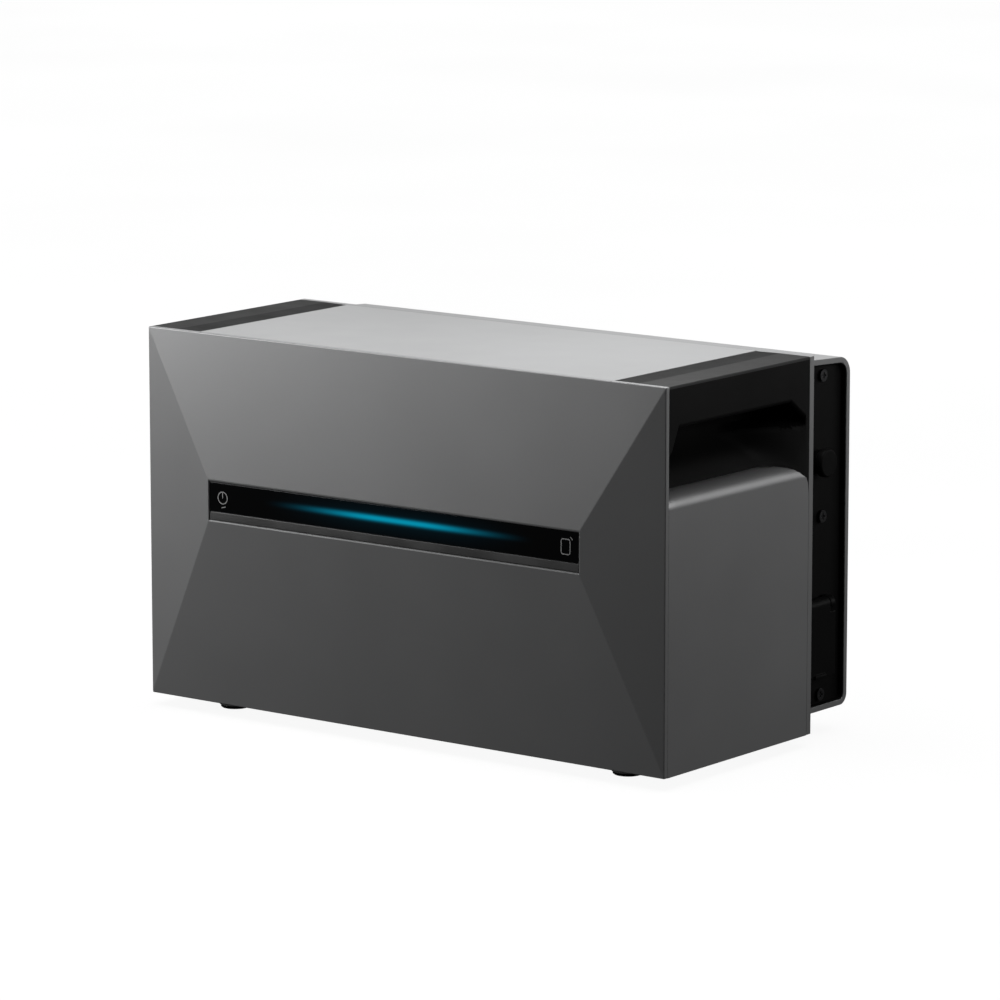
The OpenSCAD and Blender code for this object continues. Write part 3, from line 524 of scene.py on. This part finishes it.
def make_lights(floor):
    """The unit is lit by soft boxes; the floor has its own light, so it stays an even white."""
    unit_only = receivers("unit_only", floor, "EXCLUDE")
    floor_only = receivers("floor_only", floor, "INCLUDE")
    for name, (azimuth, elevation, distance, width, height, power) in DOME.items():
        a, e = math.radians(azimuth), math.radians(elevation)
        way = Vector((math.sin(a) * math.cos(e), -math.cos(a) * math.cos(e), math.sin(e)))
        area_light(name, DOME_CENTRE + way * distance, DOME_AIM, (width, height), power, unit_only)
    for name, (place, aim, size, power) in NEAR.items():
        area_light(name, place, aim, (size, size), power, unit_only)
    sky = bpy.data.lights.new("floor_sky", "SUN")
    sky.angle = math.radians(60)
    sky.energy = math.pi * FLOOR_WHITE / FLOOR_TONE
    lamp = place_lamp("floor_sky", sky, (0, 0, 3), (0, 0, 0), floor_only)
    lamp.light_linking.blocker_collection = floor_only

    world = bpy.data.worlds.new("studio")
    bpy.context.scene.world = world
    world.use_nodes = True
    tree = world.node_tree
    background = tree.nodes["Background"]
    background.inputs["Color"].default_value = (1, 1, 1, 1)
    path = tree.nodes.new("ShaderNodeLightPath")
    glow = tree.nodes.new("ShaderNodeMath")
    glow.operation = "MAXIMUM"
    glow.inputs[1].default_value = WORLD_GLOW
    tree.links.new(path.outputs["Is Camera Ray"], glow.inputs[0])
    tree.links.new(glow.outputs[0], background.inputs["Strength"])


# ---------------------------------------------------------------------------------------------
# Front panel and display
# ---------------------------------------------------------------------------------------------


def weighted_bevel(obj, width_of, segments=3):
    """Rounds each edge by its own width in millimetres, as width_of(middle, direction) says."""
    mesh = obj.data
    layer = mesh.attributes.new("bevel_weight_edge", "FLOAT", "EDGE")
    widths = []
    for edge in mesh.edges:
        a, b = (mesh.vertices[i].co for i in edge.vertices)
        widths.append(width_of((a + b) / 2 / MM, (b - a).normalized()))
    most = max(widths)
    for i, width in enumerate(widths):
        layer.data[i].value = width / most
    bevel = obj.modifiers.new("rounded", "BEVEL")
    bevel.width = most * MM
    bevel.segments = segments
    bevel.limit_method = "WEIGHT"
    bevel.use_clamp_overlap = False
    bevel.miter_outer = "MITER_ARC"
    weigh_normals(obj)


RIDGE_RISE = 11 * MM        # how far the ridge stands in front of the panel's corners
PANEL_WALL = 2.5 * MM
FOLDED_WALL = 2.6 * MM      # the wall where it folds back behind the corners
THROAT_FLANGE = 9 * MM      # how far the throat's rear end turns outwards
THROAT_GAP = 0.3 * MM       # between the throat and the glass
THROAT_SHORT = 0.6 * MM     # how far the throat stops short of the glass's back
LIP_ROUND, SILL_ROUND, RIDGE_ROUND = 1.7, 1.1, 0.8       # rounded edges, in millimetres
CORNER_ROUND, RIM_ROUND, FOLD_ROUND = 0.7, 0.3, 0.5


def front_panel():
    """Four facets, a rim all round and the throat of the display opening."""
    low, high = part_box("front_panel")
    lens_low, lens_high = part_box("display_lens")
    trim_low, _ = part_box("display_trim")
    bar_x = lens_high.x + THROAT_GAP
    bar_lo, bar_hi = trim_low.z - THROAT_GAP, lens_high.z + THROAT_GAP
    corner_y = low.y + RIDGE_RISE
    throat_y = lens_high.y - THROAT_SHORT
    wall, flange = PANEL_WALL, THROAT_FLANGE
    rings = [
        (high.x - wall, low.z + wall, high.z - wall, high.y),
        (high.x, low.z, high.z, high.y),
        (high.x, low.z, high.z, corner_y),
        (bar_x, bar_lo, bar_hi, low.y),
        (bar_x, bar_lo, bar_hi, throat_y),
        (bar_x + flange, bar_lo - flange, bar_hi + flange, throat_y),
        (high.x - wall, low.z + wall, high.z - wall, corner_y + FOLDED_WALL),
    ]
    verts = []
    for x, z0, z1, y in rings:
        verts += [(-x, y, z0), (x, y, z0), (x, y, z1), (-x, y, z1)]
    faces = []
    count = len(rings)
    for r in range(count):
        a, b = 4 * r, 4 * ((r + 1) % count)
        for k in range(4):
            n = (k + 1) % 4
            faces.append((a + k, a + n, b + n, b + k))
    obj = mesh_object("front_panel_finished", verts, faces)
    ridge, corner = low.y / MM, corner_y / MM
    top_lip, sill = bar_hi / MM, bar_lo / MM

    def width_of(middle, way):
        at_ridge = abs(middle.y - ridge) < 0.1
        if at_ridge and abs(middle.z - top_lip) < 0.1:
            return LIP_ROUND
        if at_ridge and abs(middle.z - sill) < 0.1:
            return SILL_ROUND
        if at_ridge:
            return RIDGE_ROUND
        if abs(middle.y - corner) < 0.1:
            return CORNER_ROUND
        if abs(middle.y - high.y / MM) < 0.1:
            return RIM_ROUND
        on_rim = abs(middle.y - (corner + high.y / MM) / 2) < 0.2
        if abs(way.y) > 0.9 and on_rim and abs(middle.x) > high.x / MM - 0.1:
            return CORNER_ROUND
        if ridge < middle.y < corner and abs(way.x) > 0.2 and abs(way.z) > 0.2:
            return FOLD_ROUND
        return 0.0

    weighted_bevel(obj, width_of)
    finish_piece(obj, "front_panel", PAINT, UNIT)


def ribbon(points, width, y, closed=False):
    """A flat stroke in the plane y, as (verts, faces), through points given in X and Z."""
    verts, faces = [], []
    n = len(points)
    for i, p in enumerate(points):
        before = points[(i - 1) % n] if closed or i else p
        after = points[(i + 1) % n] if closed or i < n - 1 else p
        way = Vector((after[0] - before[0], after[1] - before[1])).normalized()
        side = Vector((-way.y, way.x)) * width / 2
        verts += [(p[0] - side.x, y, p[1] - side.y), (p[0] + side.x, y, p[1] + side.y)]
    for i in range(n if closed else n - 1):
        a, b = 2 * i, 2 * ((i + 1) % n)
        faces.append((a, a + 1, b + 1, b))
    return verts, faces


def arc(cx, cz, r, start, end, steps):
    return [(cx + r * math.cos(math.radians(start + (end - start) * i / steps)),
             cz + r * math.sin(math.radians(start + (end - start) * i / steps)))
            for i in range(steps + 1)]


def strokes_object(name, strokes, thickness=0.06 * MM):
    """Joins flat strokes into one thin printed piece."""
    verts, faces = [], []
    for v, f in strokes:
        start = len(verts)
        verts += v
        faces += [tuple(i + start for i in face) for face in f]
    obj = mesh_object(name, verts, faces)
    solid = obj.modifiers.new("thick", "SOLIDIFY")
    solid.thickness = thickness
    solid.offset = 0.0
    return obj


def rounded_frame(cx, cz, half_w, half_h, r, steps=5):
    points = []
    for sx, sz, start in ((1, 1, 0), (-1, 1, 90), (-1, -1, 180), (1, -1, 270)):
        points += arc(cx + sx * (half_w - r), cz + sz * (half_h - r), r, start, start + 90, steps)
    return points


# The two printed keys; places are from the glass's lower left or lower right corner
ICON_LINE = 0.65 * MM
ICON_LIFT = 0.03 * MM       # how far the print stands in front of the glass
POWER_AT = (11.8 * MM, 10.3 * MM)
POWER_R = 4.3 * MM
POWER_STEM = 0.2 * MM       # how far below the ring's middle the stem starts
POWER_DASH = ((-1.0 * MM, -7.2 * MM), (2.6 * MM, -6.2 * MM))     # from the ring's middle
PHONE_AT = (11.5 * MM, 10.3 * MM)
PHONE_HALF = (3.8 * MM, 5.3 * MM)
PHONE_R = 1.6 * MM
PHONE_DASH = ((0.2 * MM, 1.9 * MM), (2.2 * MM, -0.1 * MM))       # from the frame's upper right


def display():
    """Glass and trim, with the two keys printed on the glass."""
    softened("display_lens", GLASS, 0.35)
    softened("display_trim", TRIM, 0.4)
    low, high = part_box("display_lens")
    y = low.y - ICON_LIFT

    def line(points, closed=False):
        return ribbon(points, ICON_LINE, y, closed)

    def dash(x, z, ends):
        return line([(x + dx, z + dz) for dx, dz in ends])

    x, z = low.x + POWER_AT[0], low.z + POWER_AT[1]
    strokes = [line(arc(x, z, POWER_R, 0, 354, 40), closed=True),
               line([(x, z - POWER_STEM), (x, z + POWER_R)]),
               dash(x, z, POWER_DASH)]
    x, z = high.x - PHONE_AT[0], low.z + PHONE_AT[1]
    half_w, half_h = PHONE_HALF
    strokes += [line(rounded_frame(x, z, half_w, half_h, PHONE_R), closed=True),
                dash(x + half_w, z + half_h, PHONE_DASH)]
    finish_piece(strokes_object("display_icons", strokes), None, PRINT, UNIT)


# ---------------------------------------------------------------------------------------------
# Grips and side panels
# ---------------------------------------------------------------------------------------------

FACE_X = 230 * MM           # outer face of the grips
BAR_Z = 249 * MM            # underside of the grip bar
BAR_BACK_X = 214 * MM
BAR_EDGE_R = 0.8 * MM       # the bar's upper outer edge
BAR_LIP_R = 3.2 * MM        # its lower outer edge
BAR_INNER_R = 2.0 * MM      # its lower inner edge
TOP_FALL = 0.3 * MM         # how far the flat top falls towards the top plate
TOP_FLAT = 25 * MM          # width of its level band

MOUTH = (-101 * MM, 33 * MM)          # straight stretch of the opening's top edge
MOUTH_WIDE = (-109.5 * MM, 51 * MM)   # the opening's ends, below the flare
FLARE_Z = (231 * MM, 236 * MM)        # where the opening's front and rear corners stop flaring
FRONT_END_R = 7 * MM        # how the recess's two ends are rounded in plan
REAR_END_R = 24 * MM
MOUTH_EDGE_R = 1.4 * MM     # where they meet the face

CEILING_Z = 262.5 * MM      # top of the space behind the bar
CEILING_END = 2 * MM        # how near its ends the ceiling falls, and how far
CEILING_DROP = 3 * MM
ROOF_R = 4.0 * MM           # between the bar's back and the ceiling
LOW_SHARE = 0.45            # the share of a low ceiling's height that its rounding may take
BACK_X = 195 * MM           # deepest wall of the recess
BACK_BEND = 9 * MM          # how softly it turns into the slope
BACK_STEPS = 26
BACK_TOP = 0.16             # the upper share of the wall that curves out, and how far
BACK_TOP_REACH = 4.0 * MM
SLOPE_Z = 238 * MM          # where the back wall turns into the slope

COVE_Y = (8 * MM, 52 * MM)            # where the recess's rear end swells out to the face
COVE_EARLY = 22 * MM                  # how much sooner it starts at the recess's top
COVE_RISE = 30 * MM                   # the height over which it becomes sooner
COVE_STRAIGHT = 0.7                   # and straighter, by this share
COVE_TOP_Z = (231 * MM, 238 * MM)     # where it ends under the bar, leaving a pocket above

SHOULDER_Z = 206 * MM       # top of the side panel's rolled shoulder
SHOULDER_R = 12 * MM
SHEET_INSET = 0.4 * MM      # how far behind the sheet's outer face the moulding stays
TUCK = 6 * MM               # how far inwards it goes on behind the roll
SINK_FADE = 24 * MM         # the height over which the sunken foot of the cove fades out
TAIL_DROP = 26 * MM         # how far the moulding goes down behind the sheet's corner
TAIL_EASE = 4 * MM          # how soon it does so where the cove comes out
BACKER_LEAD = 4 * MM        # how far in front of the cove the black backer starts
BACKER_Z = 190 * MM         # and how low it reaches

# Stops along the recess's straight stretch, and some more at its rear end, in millimetres
STRAIGHT_STOPS = (-101.01, -100.9, -100, -98, -70, -45, -20, -14, -8, -2,
                  3, 6, 9, 12, 15, 18, 21, 24)
REAR_STOPS = (31.0, 32.4, 32.9, 33.01)

# The rolled shoulder's trimmed rear end: how far round the roll the sheet reaches, in degrees, at Y
ROLL_TRIM = ((8, 90), (16, 82), (24, 68), (32, 53), (39, 39), (45, 24), (50, 8), (52.3, 0))
ROLL_CORNER = ((54.3, 190), (55.1, 184))     # and on down the flat side, as (Y, Z)
ROLL_END = 3 * MM           # how much lower the corner is square
ROLL_STEPS = 10
ROLL_STOPS = 8              # along its untrimmed stretch
ROLL_FLANGE = 16 * MM
SIDE_GAPS = (0.15 * MM, 0.2 * MM)     # to the front panel and to the rear frame
SIDE_SHEET = 2.2 * MM


def smooth_max(a, b, k):
    h = max(k - abs(a - b), 0.0) / k
    return max(a, b) + h * h * k / 4


def smooth_step(t):
    t = min(1.0, max(0.0, t))
    return t * t * (3 - 2 * t)


def cove_swell(y, z):
    """How far the recess's rear end has come out to the face: 0 not yet, 1 all the way."""
    high = smooth_step((z - SHOULDER_Z) / COVE_RISE)
    start = COVE_Y[0] - COVE_EARLY * high
    t = min(1.0, max(0.0, (y - start) / (COVE_Y[1] - start)))
    return smooth_step(t) + (t - smooth_step(t)) * COVE_STRAIGHT * high


def back_wall(z, foot_x):
    """Depth of the recess behind the opening, away from its ends."""
    slope = (foot_x - BACK_X) / (SLOPE_Z - SHOULDER_Z)
    return smooth_max(BACK_X, foot_x - (z - SHOULDER_Z) * slope, BACK_BEND)


def grip_section(face_x, top_x, z_top, bar_z, ceiling, y, limit):
    """Closed outline in X and Z of the grip moulding at y, with its recess no deeper than limit."""
    rise = max(ceiling - bar_z, 0.0)
    inner = min(BAR_INNER_R, rise * LOW_SHARE)
    roof = min(ROOF_R, rise * LOW_SHARE)
    points = [(top_x, z_top - TOP_FALL), (face_x - TOP_FLAT, z_top)]
    points += arc(face_x - BAR_EDGE_R, z_top - BAR_EDGE_R, BAR_EDGE_R, 90, 0, 4)
    points += arc(face_x - BAR_LIP_R, bar_z + BAR_LIP_R, BAR_LIP_R, 0, -90, 6)
    points += arc(BAR_BACK_X + inner, bar_z + inner, inner, -90, -180, 4)
    points += arc(BAR_BACK_X - roof, ceiling - roof, roof, 0, 90, 4)
    foot_x = face_x - SHOULDER_R
    for i in range(BACK_STEPS + 1):
        t = i / BACK_STEPS
        z = ceiling + (SHOULDER_Z - ceiling) * t
        back = back_wall(z, foot_x)
        if t < BACK_TOP:
            back += BACK_TOP_REACH * (1 - t / BACK_TOP) ** 2
        points.append((min(back, foot_x) if t > 0.5 else back, z))
    shaped = []
    for n, (x, z) in enumerate(points):
        if n >= 2 and z < z_top - 2 * MM and x < face_x - 0.01 * MM:
            wall = smooth_step((z - COVE_TOP_Z[0]) / (COVE_TOP_Z[1] - COVE_TOP_Z[0]))
            back = back_wall(z, foot_x)
            cove = back + (face_x - back) * cove_swell(y, z)
            x = min(face_x, smooth_max(x, cove + (limit - cove) * wall, (5 * wall + 0.01) * MM))
        shaped.append((x, z))
    # where the recess comes out to the face, the moulding goes on down behind the sheet's corner
    x_end = shaped[-1][0]
    beyond = max(0.0, x_end - foot_x)
    sink = SHOULDER_R - math.sqrt(max(0.0, SHOULDER_R ** 2 - beyond ** 2))
    for n in range(len(shaped) - BACK_STEPS - 1, len(shaped)):
        x, z = shaped[n]
        shaped[n] = (x, z - sink * (1 - smooth_step((z - SHOULDER_Z) / SINK_FADE)))
    drop = TAIL_DROP * smooth_step(beyond / TAIL_EASE)
    x_in = min(x_end, face_x - SHEET_INSET)
    shaped += [(x_in, SHOULDER_Z - sink - 0.2 * (drop - sink)), (x_in, SHOULDER_Z - drop),
               (foot_x - TUCK, SHOULDER_Z - drop), (foot_x - TUCK, SHOULDER_Z),
               (top_x, SHOULDER_Z)]
    return shaped


def grip_stations(y0, y1):
    """Stops along the grip, each as where it lies and how deep the recess may be there."""
    stations = [(y0, FACE_X), (y1, FACE_X)]
    flat = FACE_X - MOUTH_EDGE_R
    for sign, wall, radius in ((-1, MOUTH_WIDE[0], FRONT_END_R), (1, MOUTH_WIDE[1], REAR_END_R)):
        for i in range(9):
            a = math.radians(90 * i / 8)
            stations.append((wall - sign * radius * (1 - math.sin(a)),
                             BACK_X + radius * (1 - math.cos(a))))
        for i in range(1, 5):
            x = BACK_X + radius
            stations.append((wall, x + (flat - x) * i / 4))
        for i in range(1, 5):
            a = math.radians(90 * i / 4)
            stations.append((wall + sign * MOUTH_EDGE_R * (1 - math.cos(a)),
                             FACE_X - MOUTH_EDGE_R * (1 - math.sin(a))))
    stations += [(y * MM, BACK_X) for y in STRAIGHT_STOPS]
    start = MOUTH_WIDE[1] - REAR_END_R
    for y in REAR_STOPS:
        y *= MM
        stations.append((y, BACK_X + REAR_END_R - math.sqrt(REAR_END_R ** 2 - (y - start) ** 2)))
    return sorted(stations)


def heights(y):
    """Height of the bar's underside and of the recess's ceiling at y."""
    if y < MOUTH[0]:
        t = min(1.0, (MOUTH[0] - y) / (MOUTH[0] - MOUTH_WIDE[0]))
        z = BAR_Z + (FLARE_Z[0] - BAR_Z) * t
        return z, z
    if y > MOUTH[1]:
        t = min(1.0, (y - MOUTH[1]) / (MOUTH_WIDE[1] - MOUTH[1]))
        z = BAR_Z + (FLARE_Z[1] - BAR_Z) * t
        return z, z
    near = min(y - MOUTH[0], MOUTH[1] - y) / CEILING_END
    return BAR_Z, CEILING_Z - CEILING_DROP * max(0.0, 1 - near) ** 2


def handle(side):
    """The moulded grip, lofted along Y: a bar over a recess, and a backer behind the roll."""
    node = "handle_" + side
    low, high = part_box(node)
    s = 1 if side == "right" else -1
    face_x = max(abs(low.x), abs(high.x))
    top_x = min(abs(low.x), abs(high.x))
    rows = []
    for y, limit in grip_stations(low.y, high.y):
        bar_z, ceiling = heights(y)
        rows.append([(s * x, y, z) for x, z in
                     grip_section(face_x, top_x, high.z, bar_z, ceiling, y, limit)])
    count = len(rows[0])
    verts = [p for row in rows for p in row]
    faces = []
    for r in range(len(rows) - 1):
        for k in range(count):
            n = (k + 1) % count
            faces.append((r * count + k, r * count + n, (r + 1) * count + n, (r + 1) * count + k))
    faces.append(tuple(range(count)))
    faces.append(tuple((len(rows) - 1) * count + k for k in range(count)))
    start = len(verts)
    curve = [(face_x - SHEET_INSET, BACKER_Z)]
    curve += arc(face_x - SHOULDER_R, SHOULDER_Z - SHOULDER_R, SHOULDER_R - SHEET_INSET, 0, 90, 10)
    curve += [(face_x - SHOULDER_R - TUCK, SHOULDER_Z - SHEET_INSET),
              (face_x - SHOULDER_R - TUCK, BACKER_Z)]
    for y in (COVE_Y[0] - BACKER_LEAD, high.y):
        verts += [(s * x, y, z) for x, z in curve]
    m = len(curve)
    for k in range(m):
        n = (k + 1) % m
        faces.append((start + k, start + n, start + m + n, start + m + k))
    faces.append(tuple(start + k for k in range(m)))
    faces.append(tuple(start + m + k for k in range(m)))
    obj = mesh_object(node + "_finished", verts, faces)
    weld(obj.data)
    smooth(obj.data)
    weigh_normals(obj)
    finish_piece(obj, node, GRIP, UNIT)


def side_panel(side):
    """Metal side with a rolled shoulder that turns down its rounded rear corner."""
    node = "side_panel_" + side
    low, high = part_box(node)
    s = 1 if side == "right" else -1
    face_x = max(abs(low.x), abs(high.x))
    front, rear = low.y + SIDE_GAPS[0], high.y - SIDE_GAPS[1]
    roll_x, roll_z = face_x - SHOULDER_R, high.z - SHOULDER_R
    first = ROLL_TRIM[0][0] * MM
    trim = [(front + (first - front) * i / ROLL_STOPS, 90) for i in range(ROLL_STOPS)]
    trim += [(y * MM, reach) for y, reach in ROLL_TRIM]
    verts, faces = [], []
    for y, reach in trim:
        verts += [(s * x, y, z) for x, z in arc(roll_x, roll_z, SHOULDER_R, 0, reach, ROLL_STEPS)]
    width = ROLL_STEPS + 1
    for i in range(len(trim) - 1):
        for j in range(ROLL_STEPS):
            a = i * width + j
            faces.append((a, a + 1, a + width + 1, a + width))
    flat = [i * width for i in range(len(trim))]
    for y, z in ROLL_CORNER:
        flat.append(len(verts))
        verts.append((s * face_x, y * MM, z * MM))
    for y, z in ((rear, ROLL_CORNER[-1][1] * MM - ROLL_END), (rear, low.z), (front, low.z)):
        flat.append(len(verts))
        verts.append((s * face_x, y, z))
    faces.append(tuple(flat))
    # the roll goes on inwards as a short flat flange under the grip
    top_row = [i * width + ROLL_STEPS for i in range(ROLL_STOPS + 1)]
    flange = len(verts)
    for i in top_row:
        x, y, z = verts[i]
        verts.append((x - s * ROLL_FLANGE, y, z))
    for k in range(ROLL_STOPS):
        faces.append((top_row[k], top_row[k + 1], flange + k + 1, flange + k))
    obj = mesh_object(node + "_finished", verts, faces)
    weld(obj.data)
    smooth(obj.data)
    solid = obj.modifiers.new("sheet", "SOLIDIFY")
    solid.thickness = SIDE_SHEET
    solid.offset = -1.0
    solid.use_even_offset = True
    weigh_normals(obj)
    finish_piece(obj, node, PAINT, UNIT)


# ---------------------------------------------------------------------------------------------
# Everything else
# ---------------------------------------------------------------------------------------------


# A foot's outline: its hollow and its screw hole by radius, its rim by how far in from the cup
FOOT_HOLLOW = ((5.0, 4.0), (5.0, 0.4), (5.4, 0.0))       # (radius, height), in millimetres
FOOT_RIM = ((2.2, 0.0), (1.4, 0.6), (1.2, PAD_TOP), (0.5, PAD_TOP), (0.2, PAD_TOP + 0.3))
FOOT_HOLE = 2.3
FOOT_SIDES = 48


def foot(node):
    """Turned grey cup over a black pad, hollowed for its screw."""
    low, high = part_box(node)
    middle = (low + high) / 2
    r, top = (high.x - low.x) / 2, high.z
    profile = list(FOOT_HOLLOW) + [(r / MM - inset, z) for inset, z in FOOT_RIM]
    profile += [(r / MM, top / MM), (FOOT_HOLE, top / MM), (FOOT_HOLE, FOOT_HOLLOW[0][1])]
    around, count = FOOT_SIDES, len(profile)
    verts = []
    for i in range(around):
        a = 2 * math.pi * i / around
        verts += [(middle.x + q * MM * math.cos(a), middle.y + q * MM * math.sin(a), z * MM)
                  for q, z in profile]
    faces = []
    for i in range(around):
        n = (i + 1) % around
        for k in range(count):
            m = (k + 1) % count
            faces.append((i * count + k, i * count + m, n * count + m, n * count + k))
    obj = mesh_object(node + "_finished", verts, faces)
    smooth(obj.data)
    weigh_normals(obj)
    finish_piece(obj, node, FOOT, UNIT)


def build_body():
    softened("top_plate", LIT_TOP_PAINT, 0.3)
    softened("rear_frame", PAINT, 0.5)
    softened("base_plate", PAINT, 0.3)
    for place in ("front_left", "front_right", "rear_left", "rear_right"):
        foot("foot_" + place)
    softened("foot_screws", SCREW, 0.2)


# The liner's outline as (how far out from the port panel's edge, height on it), in millimetres
LINER = ((0.15, -0.5), (0.15, 3.2), (-0.05, 3.4), (-0.45, 3.4), (-0.65, 3.2), (-0.65, -0.5))


def port_liner(side):
    """Thin black lip standing up from the port panel along the housing's inner wall."""
    node = "port_panel_" + side
    low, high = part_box(node)
    s = 1 if side == "right" else -1
    face = max(abs(low.x), abs(high.x))
    spots = {(round(v.co.y, 6), round(v.co.z, 6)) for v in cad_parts[node].data.vertices
             if abs(abs(v.co.x) - face) < 0.01 * MM}
    spots = sorted(spots)
    ring = [Vector(spots[i]) for i in geometry.convex_hull_2d([Vector(p) for p in spots])]
    verts, faces = [], []
    count = len(ring)
    for i, p in enumerate(ring):
        before, after = ring[i - 1], ring[(i + 1) % count]
        out = ((p - before).normalized() + (after - p).normalized()).normalized()
        out = Vector((out.y, -out.x))
        for reach, x in LINER:
            q = p + out * reach * MM
            verts.append((s * (face + x * MM), q.x, q.y))
    around = len(LINER)
    for i in range(count):
        n = (i + 1) % count
        if ring[i].x < low.y + 0.01 * MM and ring[n].x < low.y + 0.01 * MM:
            faces += [tuple(i * around + k for k in range(around)),
                      tuple(n * around + k for k in range(around))]
            continue
        for k in range(around):
            m = (k + 1) % around
            faces.append((i * around + k, i * around + m, n * around + m, n * around + k))
    obj = mesh_object("port_liner_" + side, verts, faces)
    smooth(obj.data)
    finish_piece(obj, None, PORTS, UNIT)


def build_rear():
    softened("rear_housing", PAINT, 0.25)
    softened("heat_sink", SINK, 0.25)
    softened("housing_screws", SCREW, 0.3)
    softened("vent_valve", PORTS, 0.6)
    softened("port_panel_left", PORTS, 0.3)
    softened("port_panel_right", PORTS, 0.3)
    for side in ("left", "right"):
        port_liner(side)
    softened("port_screws", SCREW, 0.15)
    softened("earth_screw", SCREW, 0.15)


def build_ports():
    for name in ("grid", "expansion"):
        softened(name + "_connector", PORTS, 0.3)
        softened(name + "_cap_seal", RUBBER, 0.2, body=name + "_seal")
        softened(name + "_cap", PORTS, 0.4, body=name + "_cap")
    softened("outlet_socket", PORTS, 0.4)
    softened("outlet_lid", PORTS, 0.7, body="outlet_lid")
    softened("outlet_pin", SCREW, 0.2)
    softened("pv_inputs", PORTS, 0.35)
    for i in range(1, 5):
        softened(f"pv_cap_{i}", RUBBER, 0.9, body=f"pv_cap_{i}")


def dress_cad_nodes():
    """Gives the nodes that stay as CAD made them their materials."""
    looks = {
        INNER: ["display_carrier", "main_fuse"],
        RUBBER: ["display_gasket", "housing_gasket"],
        GUIDE: ["light_guide"],
        BOARD: ["display_board", "bms_board", "dc_board", "inverter_board"],
        SCREW: ["outlet_spring"],
        SINK: ["heat_spreader", "end_plates"],
        PLATED: ["battery_tray", "pack_straps", "power_shelf"],
        CAN: [f"cell_module_{i}" for i in range(1, 5)],
        SHEET: ["cell_pads", "cell_cover"],
        COPPER: ["busbars"],
        LEAD: ["power_leads"],
    }
    for material, names in looks.items():
        for name in names:
            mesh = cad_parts[name].data
            mesh.materials.clear()
            mesh.materials.append(material)


make_camera()
make_lights(make_floor())
front_panel()
display()
for side in ("left", "right"):
    handle(side)
    side_panel(side)
build_body()
build_rear()
build_ports()
dress_cad_nodes()

bpy.context.scene.view_settings.view_transform = "Standard"
